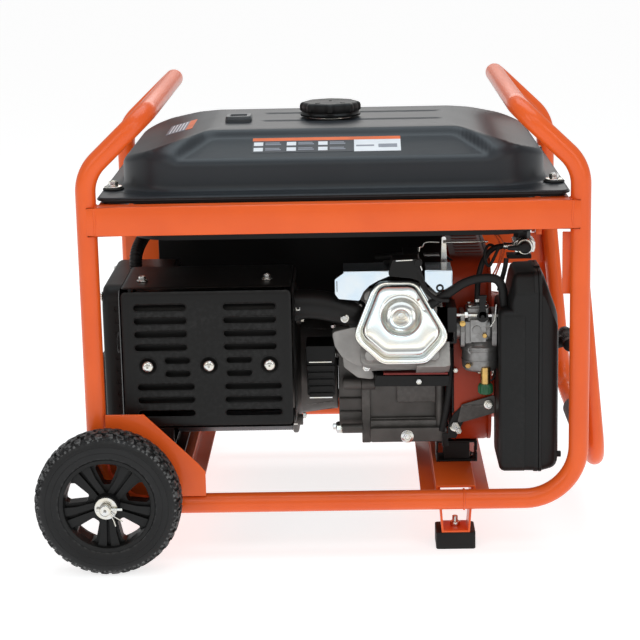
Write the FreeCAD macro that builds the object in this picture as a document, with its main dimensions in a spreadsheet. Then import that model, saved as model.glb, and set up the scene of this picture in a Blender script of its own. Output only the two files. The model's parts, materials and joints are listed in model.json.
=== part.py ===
import FreeCAD, Part
import math
import os
import re

import Sketcher
from FreeCAD import Placement, Rotation, Vector

# Portable generator on wheels. Millimetres, +Z up, the floor at Z = 0.
# Every sub-part is drawn from one datum: X from the middle of the frame, Y from the axis of the
# front frame tubes, Z from the floor. The datum is then placed so that the origin of the part is
# on the floor at the middle of its outline. The engine side is at -Y and the wheels are at -X.
DIMS = {
    # datum
    "mid_x": 17.8, "frame_depth": 500,
    # frame tubes
    "tube_d": 28, "tube_wall": 1.8, "post_x": 336, "rail_z": 80.5, "corner_bend": 75,
    "knee_z": 550, "knee_bend": 60, "hoop_x": 252, "hoop_z": 630, "hoop_bend": 42, "seam_x": 176,
    # upper rails
    "rail_top": 506, "rail_tall": 40, "rail_wide": 25, "end_rail_x": 308, "sheet_steel": 3,
    # cross members and feet
    "member_right_x": 165.5, "member_left_x": -246, "member_half": 49, "web_half": 28,
    "member_low": 78, "member_top": 96, "foot_deep": 50, "foot_wide": 56, "foot_tall": 25, "foot_y": 18,
    # wheels
    "wheel_radius": 101.5, "wheel_x": -317, "wheel_y": -50, "tyre_half": 26, "seat_radius": 67,
    "hub_half": 30, "hub_radius": 17, "axle_d": 16, "axle_out": 44,
    # folding handle
    "grip_tube_d": 25, "grip_tube_wall": 1.6, "leg_y": 30, "pivot_x": 338.2, "pivot_z": 405,
    "handle_x": 366, "handle_z": 120, "handle_bend": 45, "pivot_d": 8,
    # tank
    "flange_x": 323, "flange_y": 10, "flange_low": 512, "tank_sheet": 1.5, "tank_x": 297, "tank_y": 52,
    "tank_corner": 75, "shoulder_z": 559, "tank_top": 592, "pan_x": 285, "pan_y": 64, "pan_low": 445,
    "neck_x": -4, "neck_y": 242, "neck_r": 27, "cap_r": 45, "cap_top": 615, "tank_bolt_y": 85,
    # engine
    "crank_y": 240, "crank_z": 230, "crank_d": 30, "case_width": 158, "case_front": 120,
    "case_back": 335, "case_low": 130, "case_high": 318, "cyl_x": 92, "cyl_lean": 25, "barrel_end": 165,
    "head_end": 228, "head_half": 60, "head_tall": 55, "cover_deep": 30,
    "shroud_x": 165, "shroud_end": 222, "shroud_front": 95, "shroud_back": 385, "shroud_low": 128,
    "shroud_high": 402, "fly_radius": 95,
    # alternator and exhaust
    "stator_end": -240, "bell_end": -68, "stator_radius": 110, "end_cover_x": -338, "shield_left": -300,
    "shield_right": -57, "shield_front": 10, "shield_side": 118, "shield_back": 163, "shield_low": 185,
    "shield_high": 388, "shield_sheet": 1.5, "slot_tall": 9, "slot_pitch": 18.9,
    # air cleaner
    "cleaner_left": 226, "cleaner_split": 281, "cleaner_right": 310, "cleaner_front": 10,
    "cleaner_back": 124, "cleaner_low": 114, "cleaner_high": 350, "cleaner_top": 400, "cleaner_wall": 2.5,
    # control panel
    "panel_left": -283, "panel_right": 170, "panel_y": 425, "panel_face": 480, "panel_low": 175,
    "panel_high": 440,
}

doc = FreeCAD.newDocument("PortableGenerator")
sheet = doc.addObject("Spreadsheet::Sheet", "Dims")
for row, (alias, size) in enumerate(DIMS.items(), start=1):
    sheet.set(f"A{row}", alias)
    sheet.set(f"B{row}", str(size))
    sheet.setAlias(f"B{row}", alias)
doc.recompute()
D = {alias: float(sheet.get(alias)) for alias in DIMS}

nodes = []
made = {"count": 0}


def dims(text):
    """An expression in which every word of the sheet is written as its cell."""
    def cell(word):
        return f"Dims.{word.group()}" if word.group() in DIMS else word.group()
    return re.sub(r"[a-z_]+", cell, str(text))


def name(stem):
    made["count"] += 1
    return f"{stem}{made['count']}"


def bind(item, **sizes):
    for prop, size in sizes.items():
        item.setExpression(prop, dims(size))
    return item


def at(item, x=0, y=0, z=0):
    """Local place of a primitive, measured from the datum."""
    for letter, size in zip("xyz", (x, y, z)):
        item.setExpression("Placement.Base." + letter, dims(size))
    if "LocalPlace" not in item.PropertiesList:
        item.addProperty("App::PropertyStringList", "LocalPlace")
    item.LocalPlace = [str(x), str(y), str(z)]
    return item


def turn(item, axis, angle):
    item.Placement = Placement(item.Placement.Base, Rotation(Vector(*axis), angle))
    return item


def node(label, item):
    """Name a finished sub-part and move it from the datum to the origin of the part."""
    local = item.LocalPlace if "LocalPlace" in item.PropertiesList else ["0", "0", "0"]
    datum = ("mid_x", "-frame_depth / 2", "0")
    for letter, start, own in zip("xyz", datum, local):
        item.setExpression("Placement.Base." + letter, dims(f"{start} + ({own})"))
    item.Label = label
    nodes.append(item)
    return item


# ---------------------------------------------------------------- simple solids

def block(x_low, x_high, y_low, y_high, z_low, z_high):
    box = doc.addObject("Part::Box", name("Block"))
    bind(box, Length=f"({x_high}) - ({x_low})", Width=f"({y_high}) - ({y_low})",
         Height=f"({z_high}) - ({z_low})")
    return at(box, x_low, y_low, z_low)


def rod(radius, length, x, y, z, along="z"):
    """A round bar that starts at a point and runs along +X, +Y or +Z."""
    bar = doc.addObject("Part::Cylinder", name("Rod"))
    bind(bar, Radius=radius, Height=length)
    if along == "x":
        turn(bar, (0, 1, 0), 90)
    if along == "y":
        turn(bar, (1, 0, 0), -90)
    return at(bar, x, y, z)


def cut(base, *tools):
    tool = tools[0] if len(tools) == 1 else group(*tools)
    result = doc.addObject("Part::Cut", name("Cut"))
    result.Base = base
    result.Tool = tool
    return result


def fuse(*shapes):
    result = doc.addObject("Part::MultiFuse", name("Fuse"))
    result.Shapes = list(shapes)
    return result


def group(*shapes):
    result = doc.addObject("Part::Compound", name("Group"))
    result.Links = list(shapes)
    return result


def rounded(base, radius, chosen):
    """Round the straight edges of a solid that a test picks."""
    doc.recompute()
    edges = [(number, radius, radius) for number, edge in enumerate(base.Shape.Edges, start=1)
             if chosen(edge)]
    result = doc.addObject("Part::Fillet", name("Rounded"))
    result.Base = base
    result.Edges = edges
    return result


def runs(letter):
    """Test for edges that run along one axis."""
    index = "xyz".index(letter)

    def test(edge):
        first, last = edge.Vertexes[0].Point, edge.Vertexes[-1].Point
        span = last - first
        return span.Length > 1 and abs(abs(span[index]) - span.Length) < 1e-6
    return test


def to_rear(item):
    """The same piece on the rear side of the frame."""
    mirror = doc.addObject("Part::Mirroring", name("Rear"))
    mirror.Source = item
    mirror.Normal = Vector(0, 1, 0)
    mirror.setExpression("Base.y", dims("frame_depth / 2"))
    return mirror


def pair(item):
    return group(item, to_rear(item))


# ---------------------------------------------------------------- sketched bodies

PLANES = {"xy": "XY_Plane", "xz": "XZ_Plane", "yz": "YZ_Plane"}


def polygon(body, plane, points):
    """A closed outline whose corners are dimensioned from the sketch's origin."""
    sketch = body.newObject("Sketcher::SketchObject", name("Sketch"))
    role = PLANES[plane]
    support = [item for item in body.Origin.OriginFeatures if item.Role == role][0]
    sketch.AttachmentSupport = [(support, "")]
    sketch.MapMode = "FlatFace"
    count = len(points)
    rough = [Vector(50 * math.cos(2 * math.pi * k / count), 50 * math.sin(2 * math.pi * k / count), 0)
             for k in range(count)]
    for k in range(count):
        sketch.addGeometry(Part.LineSegment(rough[k], rough[(k + 1) % count]), False)
    for k in range(count):
        sketch.addConstraint(Sketcher.Constraint("Coincident", k, 2, (k + 1) % count, 1))
    for k, (across, up) in enumerate(points):
        for kind, start, size in (("DistanceX", rough[k].x, across), ("DistanceY", rough[k].y, up)):
            index = sketch.addConstraint(Sketcher.Constraint(kind, -1, 1, k, 1, start))
            sketch.setExpression(f"Constraints[{index}]", dims(size))
    return sketch


def body_of(stem):
    return doc.addObject("PartDesign::Body", name(stem))


def plate(plane, points, thickness, x=0, y=0, z=0, middle=False):
    """A flat piece: an outline on one plane, padded along that plane's normal."""
    body = body_of("Plate")
    pad = body.newObject("PartDesign::Pad", name("Pad"))
    pad.Profile = polygon(body, plane, points)
    bind(pad, Length=thickness)
    pad.Midplane = middle
    return at(body, x, y, z)


def turned(points, axis, x=0, y=0, z=0):
    """A turned piece. axis x: outline (along, radius); axis y and z: outline (radius, along)."""
    body = body_of("Turned")
    spin = body.newObject("PartDesign::Revolution", name("Spin"))
    sketch = polygon(body, "xz" if axis == "z" else "xy", points)
    spin.Profile = sketch
    spin.ReferenceAxis = (sketch, ["H_Axis" if axis == "x" else "V_Axis"])
    spin.Angle = 360
    return at(body, x, y, z)


# ---------------------------------------------------------------- bent tubes

def route(points, radii):
    """Straight runs joined by tangent arcs, as one wire."""
    points = [Vector(*point) for point in points]
    edges = []
    start = points[0]
    for k in range(1, len(points) - 1):
        back = (points[k - 1] - points[k]).normalize()
        ahead = (points[k + 1] - points[k]).normalize()
        half = back.getAngle(ahead) / 2
        reach = radii[k - 1] / math.tan(half)
        first = points[k] + back * reach
        last = points[k] + ahead * reach
        inward = (back + ahead).normalize()
        middle = points[k] + inward * (radii[k - 1] / math.sin(half) - radii[k - 1])
        if (first - start).Length > 1e-4:
            edges.append(Part.LineSegment(start, first).toShape())
        edges.append(Part.Arc(first, middle, last).toShape())
        start = last
    edges.append(Part.LineSegment(start, points[-1]).toShape())
    return Part.Wire(edges)


def swept(points, radii, diameter, wall=0):
    """A round tube, or a solid bar where the wall is 0, along a route."""
    spine = route(points, radii)
    first = spine.Edges[0]
    direction = first.tangentAt(first.FirstParameter)

    def bar(radius):
        profile = Part.Wire(Part.makeCircle(radius, Vector(*points[0]), direction))
        return spine.makePipeShell([profile], True, True)
    shape = bar(diameter / 2)
    if wall:
        shape = shape.cut(bar(diameter / 2 - wall))
    return shape


def feature(shape):
    item = doc.addObject("Part::Feature", name("Formed"))
    item.Shape = shape
    return item


def bend_radius(points):
    """For a hose: 0.45 of the shorter run over the tangent of half the turn."""
    radii = []
    for k in range(1, len(points) - 1):
        a = Vector(*points[k]) - Vector(*points[k - 1])
        b = Vector(*points[k + 1]) - Vector(*points[k])
        radii.append(0.45 * min(a.Length, b.Length) / math.tan(a.getAngle(b) / 2))
    print("bend radii", [round(radius, 1) for radius in radii])
    return radii


# ---------------------------------------------------------------- frame

def hoop(side, end_x):
    """Half of the tube frame: bottom rail, post, inclined run and handhold, front to rear."""
    post, depth, low = side * D["post_x"], D["frame_depth"], D["rail_z"]
    top_x, knee, top = side * D["hoop_x"], D["knee_z"], D["hoop_z"]
    points = [(end_x, 0, low), (post, 0, low), (post, 0, knee), (top_x, 0, top),
              (top_x, depth, top), (post, depth, knee), (post, depth, low), (end_x, depth, low)]
    bends = [D["corner_bend"], D["knee_bend"], D["hoop_bend"]]
    return swept(points, bends + bends[::-1], D["tube_d"], D["tube_wall"])


def frame():
    left = feature(hoop(-1, D["seam_x"] - 0.2))
    holes = [rod("axle_d / 2 + 0.1", 60, "wheel_x", y, "wheel_radius", "y")
             for y in ("-30", "frame_depth - 30")]
    tab = [(-330, 316), (-279, 316), (-279, 364), (-286, 371), (-294, 378), (-298, 388), (-298, 455),
           (-330, 455)]
    panel_tab = fuse(plate("xz", tab, 3, 0, "panel_face + 3.2", 0),
                     block(-342, -330, "panel_face + 0.2", "panel_face + 11", 316, 455))
    rear_post = rod("tube_d / 2 - 1", 160, "-post_x", "frame_depth", 306)
    panel_tab = cut(panel_tab, rear_post, rod(3, 10, -291, "panel_face - 3", 330, "y"))
    node("hoop_left", fuse(cut(left, *holes), panel_tab))
    right_tab = fuse(block(150, 327, "panel_face + 0.2", "panel_face + 3.2", 320, 369.5),
                     block(318, 327, "panel_face + 0.2", "panel_face + 8", 320, 369.5),
                     block(318, 342, "panel_face + 5", "panel_face + 10", 320, 369.5))
    right_tab = cut(right_tab, rod("tube_d / 2 - 1", 160, "post_x", "frame_depth", 306))
    node("hoop_right", fuse(feature(hoop(1, D["seam_x"] + 0.2)), right_tab))

    rail_back = "rail_wide - tube_d / 2"
    rail = cut(block("-post_x", "post_x", "-tube_d / 2", rail_back, "rail_top - rail_tall", "rail_top"),
               block("-post_x - 1", "post_x + 1", "1.5 - tube_d / 2", f"{rail_back} - 1.5",
                     "rail_top - rail_tall + 1.5", "rail_top - 1.5"),
               rod("tube_d / 2", 60, "-post_x", 0, "rail_top - 50"),
               rod("tube_d / 2", 60, "post_x", 0, "rail_top - 50"))
    rear_rail = to_rear(rail)
    hangers = []
    for x in (-230, 108):
        strip = block(x, x + 24, "panel_face + 0.2", "panel_face + 3.2", 410, 480)
        shelf = block(x, x + 24, "panel_face + 0.2", f"frame_depth - ({rail_back}) + 0.5", 477, 480)
        hangers += [strip, shelf]
    node("top_rails", group(rail, fuse(rear_rail, *hangers)))

    ends = []
    for side in ("-", ""):
        middle = f"{side}end_rail_x"
        outer = block(f"{middle} - 12.5", f"{middle} + 12.5", "rail_wide - tube_d / 2",
                      "frame_depth - rail_wide + tube_d / 2", "rail_top - 25", "rail_top")
        inner = block(f"{middle} - 11", f"{middle} + 11", "rail_wide - tube_d / 2 - 1",
                      "frame_depth - rail_wide + tube_d / 2 + 1", "rail_top - 23.5", "rail_top - 1.5")
        bolts = [rod(3.5, 10, middle, y, "rail_top - 5")
                 for y in ("tank_bolt_y", "frame_depth - tank_bolt_y")]
        ends.append(cut(outer, inner, *bolts))
    node("end_rails", group(*ends))

    steel = "sheet_steel"
    hat = [("-member_half", "member_low"), (f"{steel} - web_half", "member_low"),
           (f"{steel} - web_half", f"member_top - {steel}"), (f"web_half - {steel}", f"member_top - {steel}"),
           (f"web_half - {steel}", "member_low"), ("member_half", "member_low"),
           ("member_half", f"member_low + {steel}"), ("web_half", f"member_low + {steel}"),
           ("web_half", "member_top"), ("-web_half", "member_top"),
           ("-web_half", f"member_low + {steel}"), ("-member_half", f"member_low + {steel}")]
    members = [plate("xz", hat, "frame_depth - tube_d", middle, "frame_depth - tube_d / 2", 0)
               for middle in ("member_right_x", "member_left_x")]
    node("cross_members", group(*members))

    # The gusset fills the corner between the post and the bottom rail, behind the wheel.
    inner = D["corner_bend"] - D["tube_d"] / 2
    bend_x, bend_z = D["corner_bend"] - D["post_x"], D["rail_z"] + D["corner_bend"]
    corner = [(round(bend_x - inner * math.sin(math.radians(turned_by)), 2),
               round(bend_z - inner * math.cos(math.radians(turned_by)), 2))
              for turned_by in (0, 22.5, 45, 67.5, 90)]
    outline = corner + [("tube_d / 2 - post_x", 214), (-268, 214), (-194, 141), (-185, 130),
                        (-185, "rail_z + tube_d / 2")]
    node("wheel_gussets", pair(plate("xz", outline, "sheet_steel", 0, -9, 0)))

    strap = [(-24.9, "member_top - 3"), (-20, "foot_tall"), (20, "foot_tall"), (24.9, "member_top - 3"),
             (21.9, "member_top - 3"), (17.2, "foot_tall + 3"), (-17.2, "foot_tall + 3"),
             (-21.9, "member_top - 3")]
    bracket = plate("xz", strap, "foot_deep - 4", "member_right_x", "foot_y + foot_deep - 4", 0)
    stud_y = "foot_y + foot_deep / 2"
    drilled = cut(bracket, rod(4.1, 30, "member_right_x", stud_y, "foot_tall - 10"))
    node("foot_brackets", pair(drilled))
    pad = block("member_right_x - foot_wide / 2", "member_right_x + foot_wide / 2", "foot_y",
                "foot_y + foot_deep", 0, "foot_tall")
    pad = rounded(pad, 4, runs("z"))
    node("rubber_feet", pair(cut(pad, rod(4.1, 30, "member_right_x", stud_y, 10))))


def axles_and_fasteners():
    half = "wheel_y - hub_half"
    shaft = fuse(rod("axle_d / 2", "24 - wheel_y + axle_out", "wheel_x", "wheel_y - axle_out",
                     "wheel_radius", "y"),
                 rod(13, 5.5, "wheel_x", "wheel_y + hub_half + 0.3", "wheel_radius", "y"),
                 rod(13, 8, "wheel_x", "tube_d / 2", "wheel_radius", "y"))
    pin_hole = rod(2, 40, "wheel_x - 20", "wheel_y - hub_half - 7", "wheel_radius", "x")
    node("wheel_axles", pair(cut(shaft, pin_hole)))

    washer = cut(rod(15.5, 2.4, "wheel_x", f"{half} - 2.9", "wheel_radius", "y"),
                 rod("axle_d / 2 + 0.3", 10, "wheel_x", f"{half} - 6", "wheel_radius", "y"))
    pin = rod(1.9, 36, "wheel_x - 13", f"{half} - 7", "wheel_radius", "x")
    foot_y = "foot_y + foot_deep / 2"
    stud = fuse(rod(4, 30, "member_right_x", foot_y, 12),
                rod(7, 6, "member_right_x", foot_y, "foot_tall + 3"))
    pivot = fuse(rod("pivot_d / 2", "leg_y + grip_tube_d / 2 + 2 - tube_d / 2", "pivot_x", "tube_d / 2",
                     "pivot_z", "y"),
                 rod(7, 6, "pivot_x", "leg_y + grip_tube_d / 2 + 0.6", "pivot_z", "y"))
    bolts = []
    for side in ("-", ""):
        x = f"{side}end_rail_x"
        top = "flange_low + 2 * tank_sheet"
        bolts.append(fuse(rod(3, 35, x, "tank_bolt_y", f"{top} - 30"), rod(12, 2, x, "tank_bolt_y", top),
                          rod(6.5, 5, x, "tank_bolt_y", f"{top} + 2")))
    node("frame_fasteners", group(*[pair(item) for item in (washer, pin, stud, pivot, *bolts)]))


def wheels():
    seat, wide = "seat_radius", "tyre_half"
    tread = [(seat, f"-{wide} + 3"), (90, f"-{wide}"), (97, "-22"), ("wheel_radius", "-13"),
             ("wheel_radius", "13"), (97, "22"), (90, wide), (seat, f"{wide} - 3")]
    rim = [("axle_d / 2 + 0.08", "-hub_half"), ("hub_radius", "-hub_half"), ("hub_radius + 2", -16),
           (58, -16), (59, "-23"), (f"{seat} - 0.1", "-23"), (f"{seat} - 0.1", "23"), (59, "23"), (58, -6),
           ("hub_radius + 2", -6), ("hub_radius", "hub_half"), ("axle_d / 2 + 0.08", "hub_half")]
    for label, y in (("front", "wheel_y"), ("rear", "frame_depth - wheel_y")):
        node(f"tyre_{label}", turned(tread, "y", "wheel_x", y, "wheel_radius"))
        body = turned(rim if label == "front" else [(r, f"-({a})") for r, a in rim[::-1]], "y",
                      "wheel_x", y, "wheel_radius")
        doc.recompute()
        whole = body.Shape.Volume
        window = body.newObject("PartDesign::Pocket", name("Window"))
        window.Profile = polygon(body, "xz", [(-7, 25), (7, 25), (21, 46), (13, 53), (-13, 53), (-21, 46)])
        window.Length = 60
        window.Midplane = True
        spokes = body.newObject("PartDesign::PolarPattern", name("Spokes"))
        spokes.Originals = [window]
        spokes.Axis = (window.Profile[0], ["N_Axis"])
        spokes.Angle = 360
        spokes.Occurrences = 5
        body.Tip = spokes
        doc.recompute()
        assert body.Shape.Volume < 0.95 * whole
        node(f"rim_{label}", body)


def handle():
    near, far = D["leg_y"], D["frame_depth"] - D["leg_y"]
    low_x, low_z = D["handle_x"], D["handle_z"]
    lean = (low_x - D["pivot_x"]) / (D["pivot_z"] - low_z)
    end_x, end_z = D["pivot_x"] - 12 * lean, D["pivot_z"] + 12
    tube = swept([(end_x, near, end_z), (low_x, near, low_z), (low_x, far, low_z), (end_x, far, end_z)],
                 [D["handle_bend"]] * 2, D["grip_tube_d"], D["grip_tube_wall"])
    bores = [rod("pivot_d / 2 + 0.06", 60, "pivot_x", y, "pivot_z", "y")
             for y in ("leg_y - 30", "frame_depth - leg_y - 30")]
    node("handle", cut(feature(tube), *bores))
    grip = cut(rod(17, 150, "handle_x", "frame_depth / 2 - 75", "handle_z", "y"),
               rod("grip_tube_d / 2", 152, "handle_x", "frame_depth / 2 - 76", "handle_z", "y"))
    node("handle_grip", grip)

    ear = cut(fuse(block(313, 345, "tube_d / 2", "tube_d / 2 + 3", 370, 457),
                   block(318, 327.7, "tube_d / 2", 40, 370, 382)),
              rod("pivot_d / 2 + 0.1", 10, "pivot_x", 10, "pivot_z", "y"))
    node("handle_brackets", pair(ear))


# ---------------------------------------------------------------- fuel tank

def rounded_slab(half_x, low_y, radius, low_z, high_z):
    """A slab with rounded corners, symmetrical about the middle of the frame."""
    corner = Vector(-half_x, low_y, low_z)
    slab = Part.makeBox(2 * half_x, D["frame_depth"] - 2 * low_y, high_z - low_z, corner)
    upright = [edge for edge in slab.Edges if abs(edge.Vertexes[0].Z - edge.Vertexes[-1].Z) > 1]
    return slab.makeFillet(radius, upright)


def prism(points, direction):
    face = Part.Face(Part.makePolygon([Vector(*point) for point in points + points[:1]]))
    return face.extrude(Vector(*direction))


def dome(inset):
    """The crowned body of the tank's upper half, or its inside where inset is the sheet."""
    low, top, depth = D["flange_low"], D["tank_top"] - inset, D["frame_depth"]
    side, front = D["tank_x"] - inset, D["tank_y"] + inset
    shoulder = D["shoulder_z"] - inset
    slab = rounded_slab(side, front, D["tank_corner"] - inset, low, top)
    half = [(side, low), (side, shoulder - 8), (side - 8, shoulder), (side - 27, shoulder + 7),
            (174, top)]
    ends = [(-x, 0, z) for x, z in half] + [(x, 0, z) for x, z in half[::-1]]
    long_half = [(front, low), (front, shoulder), (front + 8, shoulder + 12), (front + 40, shoulder + 25),
                 (front + 88, top)]
    across = [(-400, y, z) for y, z in long_half] + [(-400, depth - y, z) for y, z in long_half[::-1]]
    shape = slab.common(prism(ends, (0, depth, 0))).common(prism(across, (800, 0, 0)))
    for mirrored in (False, True):
        def across_at(y):
            return depth - y if mirrored else y
        panel = [(front - 20, shoulder - 3), (front + 4, shoulder - 1), (127, top - 10), (127, top + 30),
                 (front - 20, top + 30)]
        wedge = prism([(-230, across_at(y), z) for y, z in panel], (460, 0, 0))
        plan = prism([(-226, across_at(front - 20), 500), (226, across_at(front - 20), 500),
                      (172, across_at(127), 500), (-172, across_at(127), 500)], (0, 0, 200))
        shape = shape.cut(wedge.common(plan))
    return shape


def flange_holes(low_z):
    """Bolt holes in a tank flange."""
    return [Part.makeCylinder(3.5, 10, Vector(side * D["end_rail_x"], y, low_z - 4))
            for side in (-1, 1) for y in (D["tank_bolt_y"], D["frame_depth"] - D["tank_bolt_y"])]


def tank():
    sheet_t = D["tank_sheet"]
    seam = D["flange_low"] + sheet_t
    flange = rounded_slab(D["flange_x"], D["flange_y"], 10, seam, seam + sheet_t)
    upper = dome(0).fuse(flange).cut(dome(sheet_t)).cut(flange_holes(seam))
    below = Part.makeBox(1000, 1000, 200, Vector(-500, -100, seam - 200))
    neck_hole = Part.makeCylinder(D["neck_r"] + 0.2, 60, Vector(D["neck_x"], D["neck_y"], D["tank_top"] - 30))
    node("tank_upper", feature(upper.cut(below).cut(neck_hole)))

    low = D["flange_low"]
    pan = rounded_slab(D["pan_x"], D["pan_y"], 60, D["pan_low"], low + sheet_t)
    inside = rounded_slab(D["pan_x"] - sheet_t, D["pan_y"] + sheet_t, 60 - sheet_t,
                          D["pan_low"] + sheet_t, low + 9)
    rim = rounded_slab(D["flange_x"], D["flange_y"], 10, low, low + sheet_t)
    outlet = Part.makeCylinder(7.2, 20, Vector(264, 90, D["pan_low"] - 10))
    node("tank_lower", feature(pan.fuse(rim).cut(inside).cut(flange_holes(low)).cut(outlet)))

    neck = [("neck_r - 3", -30), ("neck_r", -30), ("neck_r", 0.2), (35, 0.2), (35, 2), ("neck_r", 2),
            ("neck_r", 8), ("neck_r - 3", 8)]
    strainer = [(10, -60), (22.5, -58), (23.6, -5), (23.6, 0), (22, 0), (21, -56.5), (10, -58.5)]
    at_neck = ("neck_x", "neck_y", "tank_top")
    node("filler_neck", group(turned(neck, "z", *at_neck), turned(strainer, "z", *at_neck)))
    seal = [(20, 8.3), (33, 8.3), (33, 11), (20, 11)]
    node("cap_seal", turned(seal, "z", *at_neck))
    cap = [(0, 11.3), (37, 11.3), (37, 3), ("cap_r - 3", 3), ("cap_r", 6),
           ("cap_r", "cap_top - tank_top - 5"),
           ("cap_r - 5", "cap_top - tank_top"), (0, "cap_top - tank_top")]
    body = turned(cap, "z", *at_neck)
    doc.recompute()
    whole = body.Shape.Volume
    scallop = body.newObject("PartDesign::Pocket", name("Scallop"))
    scallop.Profile = polygon(body, "xy", [(39.5, -7), (50, -12), (50, 12), (39.5, 7)])
    scallop.Type = "ThroughAll"
    scallop.Reversed = True
    lobes = body.newObject("PartDesign::PolarPattern", name("Lobes"))
    lobes.Originals = [scallop]
    lobes.Axis = (scallop.Profile[0], ["N_Axis"])
    lobes.Angle = 360
    lobes.Occurrences = 8
    body.Tip = lobes
    doc.recompute()
    assert body.Shape.Volume < 0.98 * whole
    node("fuel_cap", body)

    gauge = cut(rounded(block(-156, -118, 196, 234, "tank_top", "tank_top + 7"), 4, runs("z")),
                block(-148, -126, 206, 224, "tank_top + 5", "tank_top + 9"))
    node("fuel_gauge", gauge)

    valve = fuse(block(253, 279, 70, 108, 418, 436), rod(7, 16, 264, 90, "pan_low - 9"),
                 rod(10, 6, 264, 90, 412.5), rod(4, 14, 240, 90, 424, "x"), rod(9, 6, 266, 64, 427, "y"))
    node("fuel_valve", valve)
    lever = fuse(rod(8.5, 9, 266, 54.5, 427, "y"), block(241, 266, 54.5, 59, 423, 431))
    node("fuel_valve_lever", lever)


# ---------------------------------------------------------------- engine

def leaned(item):
    """Stand a piece, drawn with the cylinder along -Y, on the leaning cylinder axis."""
    item.Placement = Placement(Vector(0, 0, 0), Rotation(Vector(1, 0, 0), -D["cyl_lean"]))
    return at(item, "cyl_x", "crank_y", "crank_z")


def crankcase():
    body = rounded(block(0, "case_width", "case_front", "case_back", "case_low", "case_high"), 22, runs("x"))
    foot = block(0, "case_width", "case_front - 22", "case_back + 15", "case_low", "case_low + 12")
    fins = [block(-58, 58, f"{s} - 1.5", f"{s} + 1.5", -60, 60) for s in (-160, -151, -142, -133)]
    barrel = leaned(fuse(rod(58, "barrel_end - 60", 0, "-barrel_end", 0, "y"), *fins))
    bore = leaned(group(rod(44, "barrel_end + 1", 0, "-barrel_end - 1", 0, "y")))
    cavity = rod(74, "case_width - 24", 12, "crank_y", "crank_z", "x")
    shaft = rod("crank_d / 2 + 0.05", 400, -60, "crank_y", "crank_z", "x")
    node("crankcase", cut(fuse(body, foot, barrel), cavity, shaft, bore))


def cylinder_top():
    fins = [block(-58, 58, f"-{s} - 1.5", f"-{s} + 1.5", -56, 56) for s in (172, 181, 190, 199, 208)]
    core = block("6 - head_half", "head_half - 6", "-head_end", "-barrel_end - 0.5",
                 "6 - head_tall", "head_tall - 6")
    ports = [block("-head_half", "8 - head_half", -222, -178, -24, 24),
             block("head_half - 8", "head_half", -222, -178, -24, 24)]
    plug_well = rod(5.1, 60, -12, -196, 30)
    rocker_room = block(-30, 30, -230, -216, -30, 30)
    node("cylinder_head", leaned(cut(fuse(core, *fins, *ports), rocker_room, plug_well)))

    outline = [(-67, -20), (-35, 60), (22, 60), (66, -21), (33, -55), (-27, -55)]
    panel = [(-55, -17), (-28, 50), (16, 50), (54, -17), (27, -45), (-21, -45)]
    room = [(round(x * 0.93, 1), round(z * 0.93, 1)) for x, z in panel]
    rim = plate("xz", outline, 3, 0, "-head_end - 1.7", 0)
    dish = plate("xz", panel, "cover_deep - 4", 0, "-head_end - 4.7", 0)
    inside = plate("xz", room, "cover_deep - 2", 0, "-head_end - 1", 0)
    well = rod(22, 8, -1, "-head_end - cover_deep - 6", 6, "y")
    bolt_hole = rod(4, 60, -1, "-head_end - cover_deep - 10", 6, "y")
    node("valve_cover", leaned(cut(fuse(rim, dish), inside, bolt_hole, well)))

    gasket = cut(plate("xz", outline, 1.2, 0, "-head_end - 0.3", 0),
                 plate("xz", room, 4, 0, "-head_end + 1", 0))
    insulator = cut(block("head_half + 0.2", "head_half + 14", -218, -182, -20, 20),
                    rod(12, 20, "head_half - 2", -200, 0, "x"))
    node("engine_gaskets", leaned(group(gasket, insulator)))

    plug = fuse(rod(5, 26, -12, -196, 31), rod(9, 7, -12, -196, 56.5), rod(6, 14, -12, -196, 63))
    boot = cut(fuse(rod(12, 34, -12, -196, 64), rod(9, 22, -12, -196, 88, "y")),
               rod(6.1, 14, -12, -196, 63.5))
    node("spark_plug", leaned(group(plug, boot)))


def valve_cover_bolt():
    return leaned(fuse(rod(3.9, 30, -1, "-head_end - cover_deep + 2", 6, "y"),
                       rod(8, 7, -1, "-head_end - cover_deep - 5", 6, "y")))


def crank_train():
    webs = []
    for x in (36, 104):
        weight = cut(rod(58, 18, x, "crank_y", "crank_z", "x"),
                     block(x - 1, x + 19, "crank_y - 60", "crank_y + 60", "crank_z", "crank_z + 60"))
        webs += [weight, block(x, x + 18, "crank_y - 20", "crank_y + 20", "crank_z - 10", "crank_z + 52")]
    journals = [rod("crank_d / 2", 327, -290, "crank_y", "crank_z", "x"),
                rod("crank_d / 2", 137, 121, "crank_y", "crank_z", "x"),
                rod(17, 52, 53, "crank_y", "crank_z + 32", "x")]
    node("crankshaft", fuse(*webs, *journals))
    wheel = [(10, "crank_d / 2"), (36, "crank_d / 2"), (36, 30), (18, 34), (18, 74), (26, 76),
             (26, "fly_radius"), (0, "fly_radius"), (0, 80), (10, 70)]
    disc = turned(wheel, "x", "shroud_x + 9", "crank_y", "crank_z")
    node("flywheel", disc)
    core = [(0, "crank_d / 2"), (160, "crank_d / 2"), (160, 40), (150, 40), (150, "stator_radius - 42"),
            (10, "stator_radius - 42"), (10, 40), (0, 40)]
    node("rotor", turned(core, "x", "stator_end + 8", "crank_y", "crank_z"))


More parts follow.
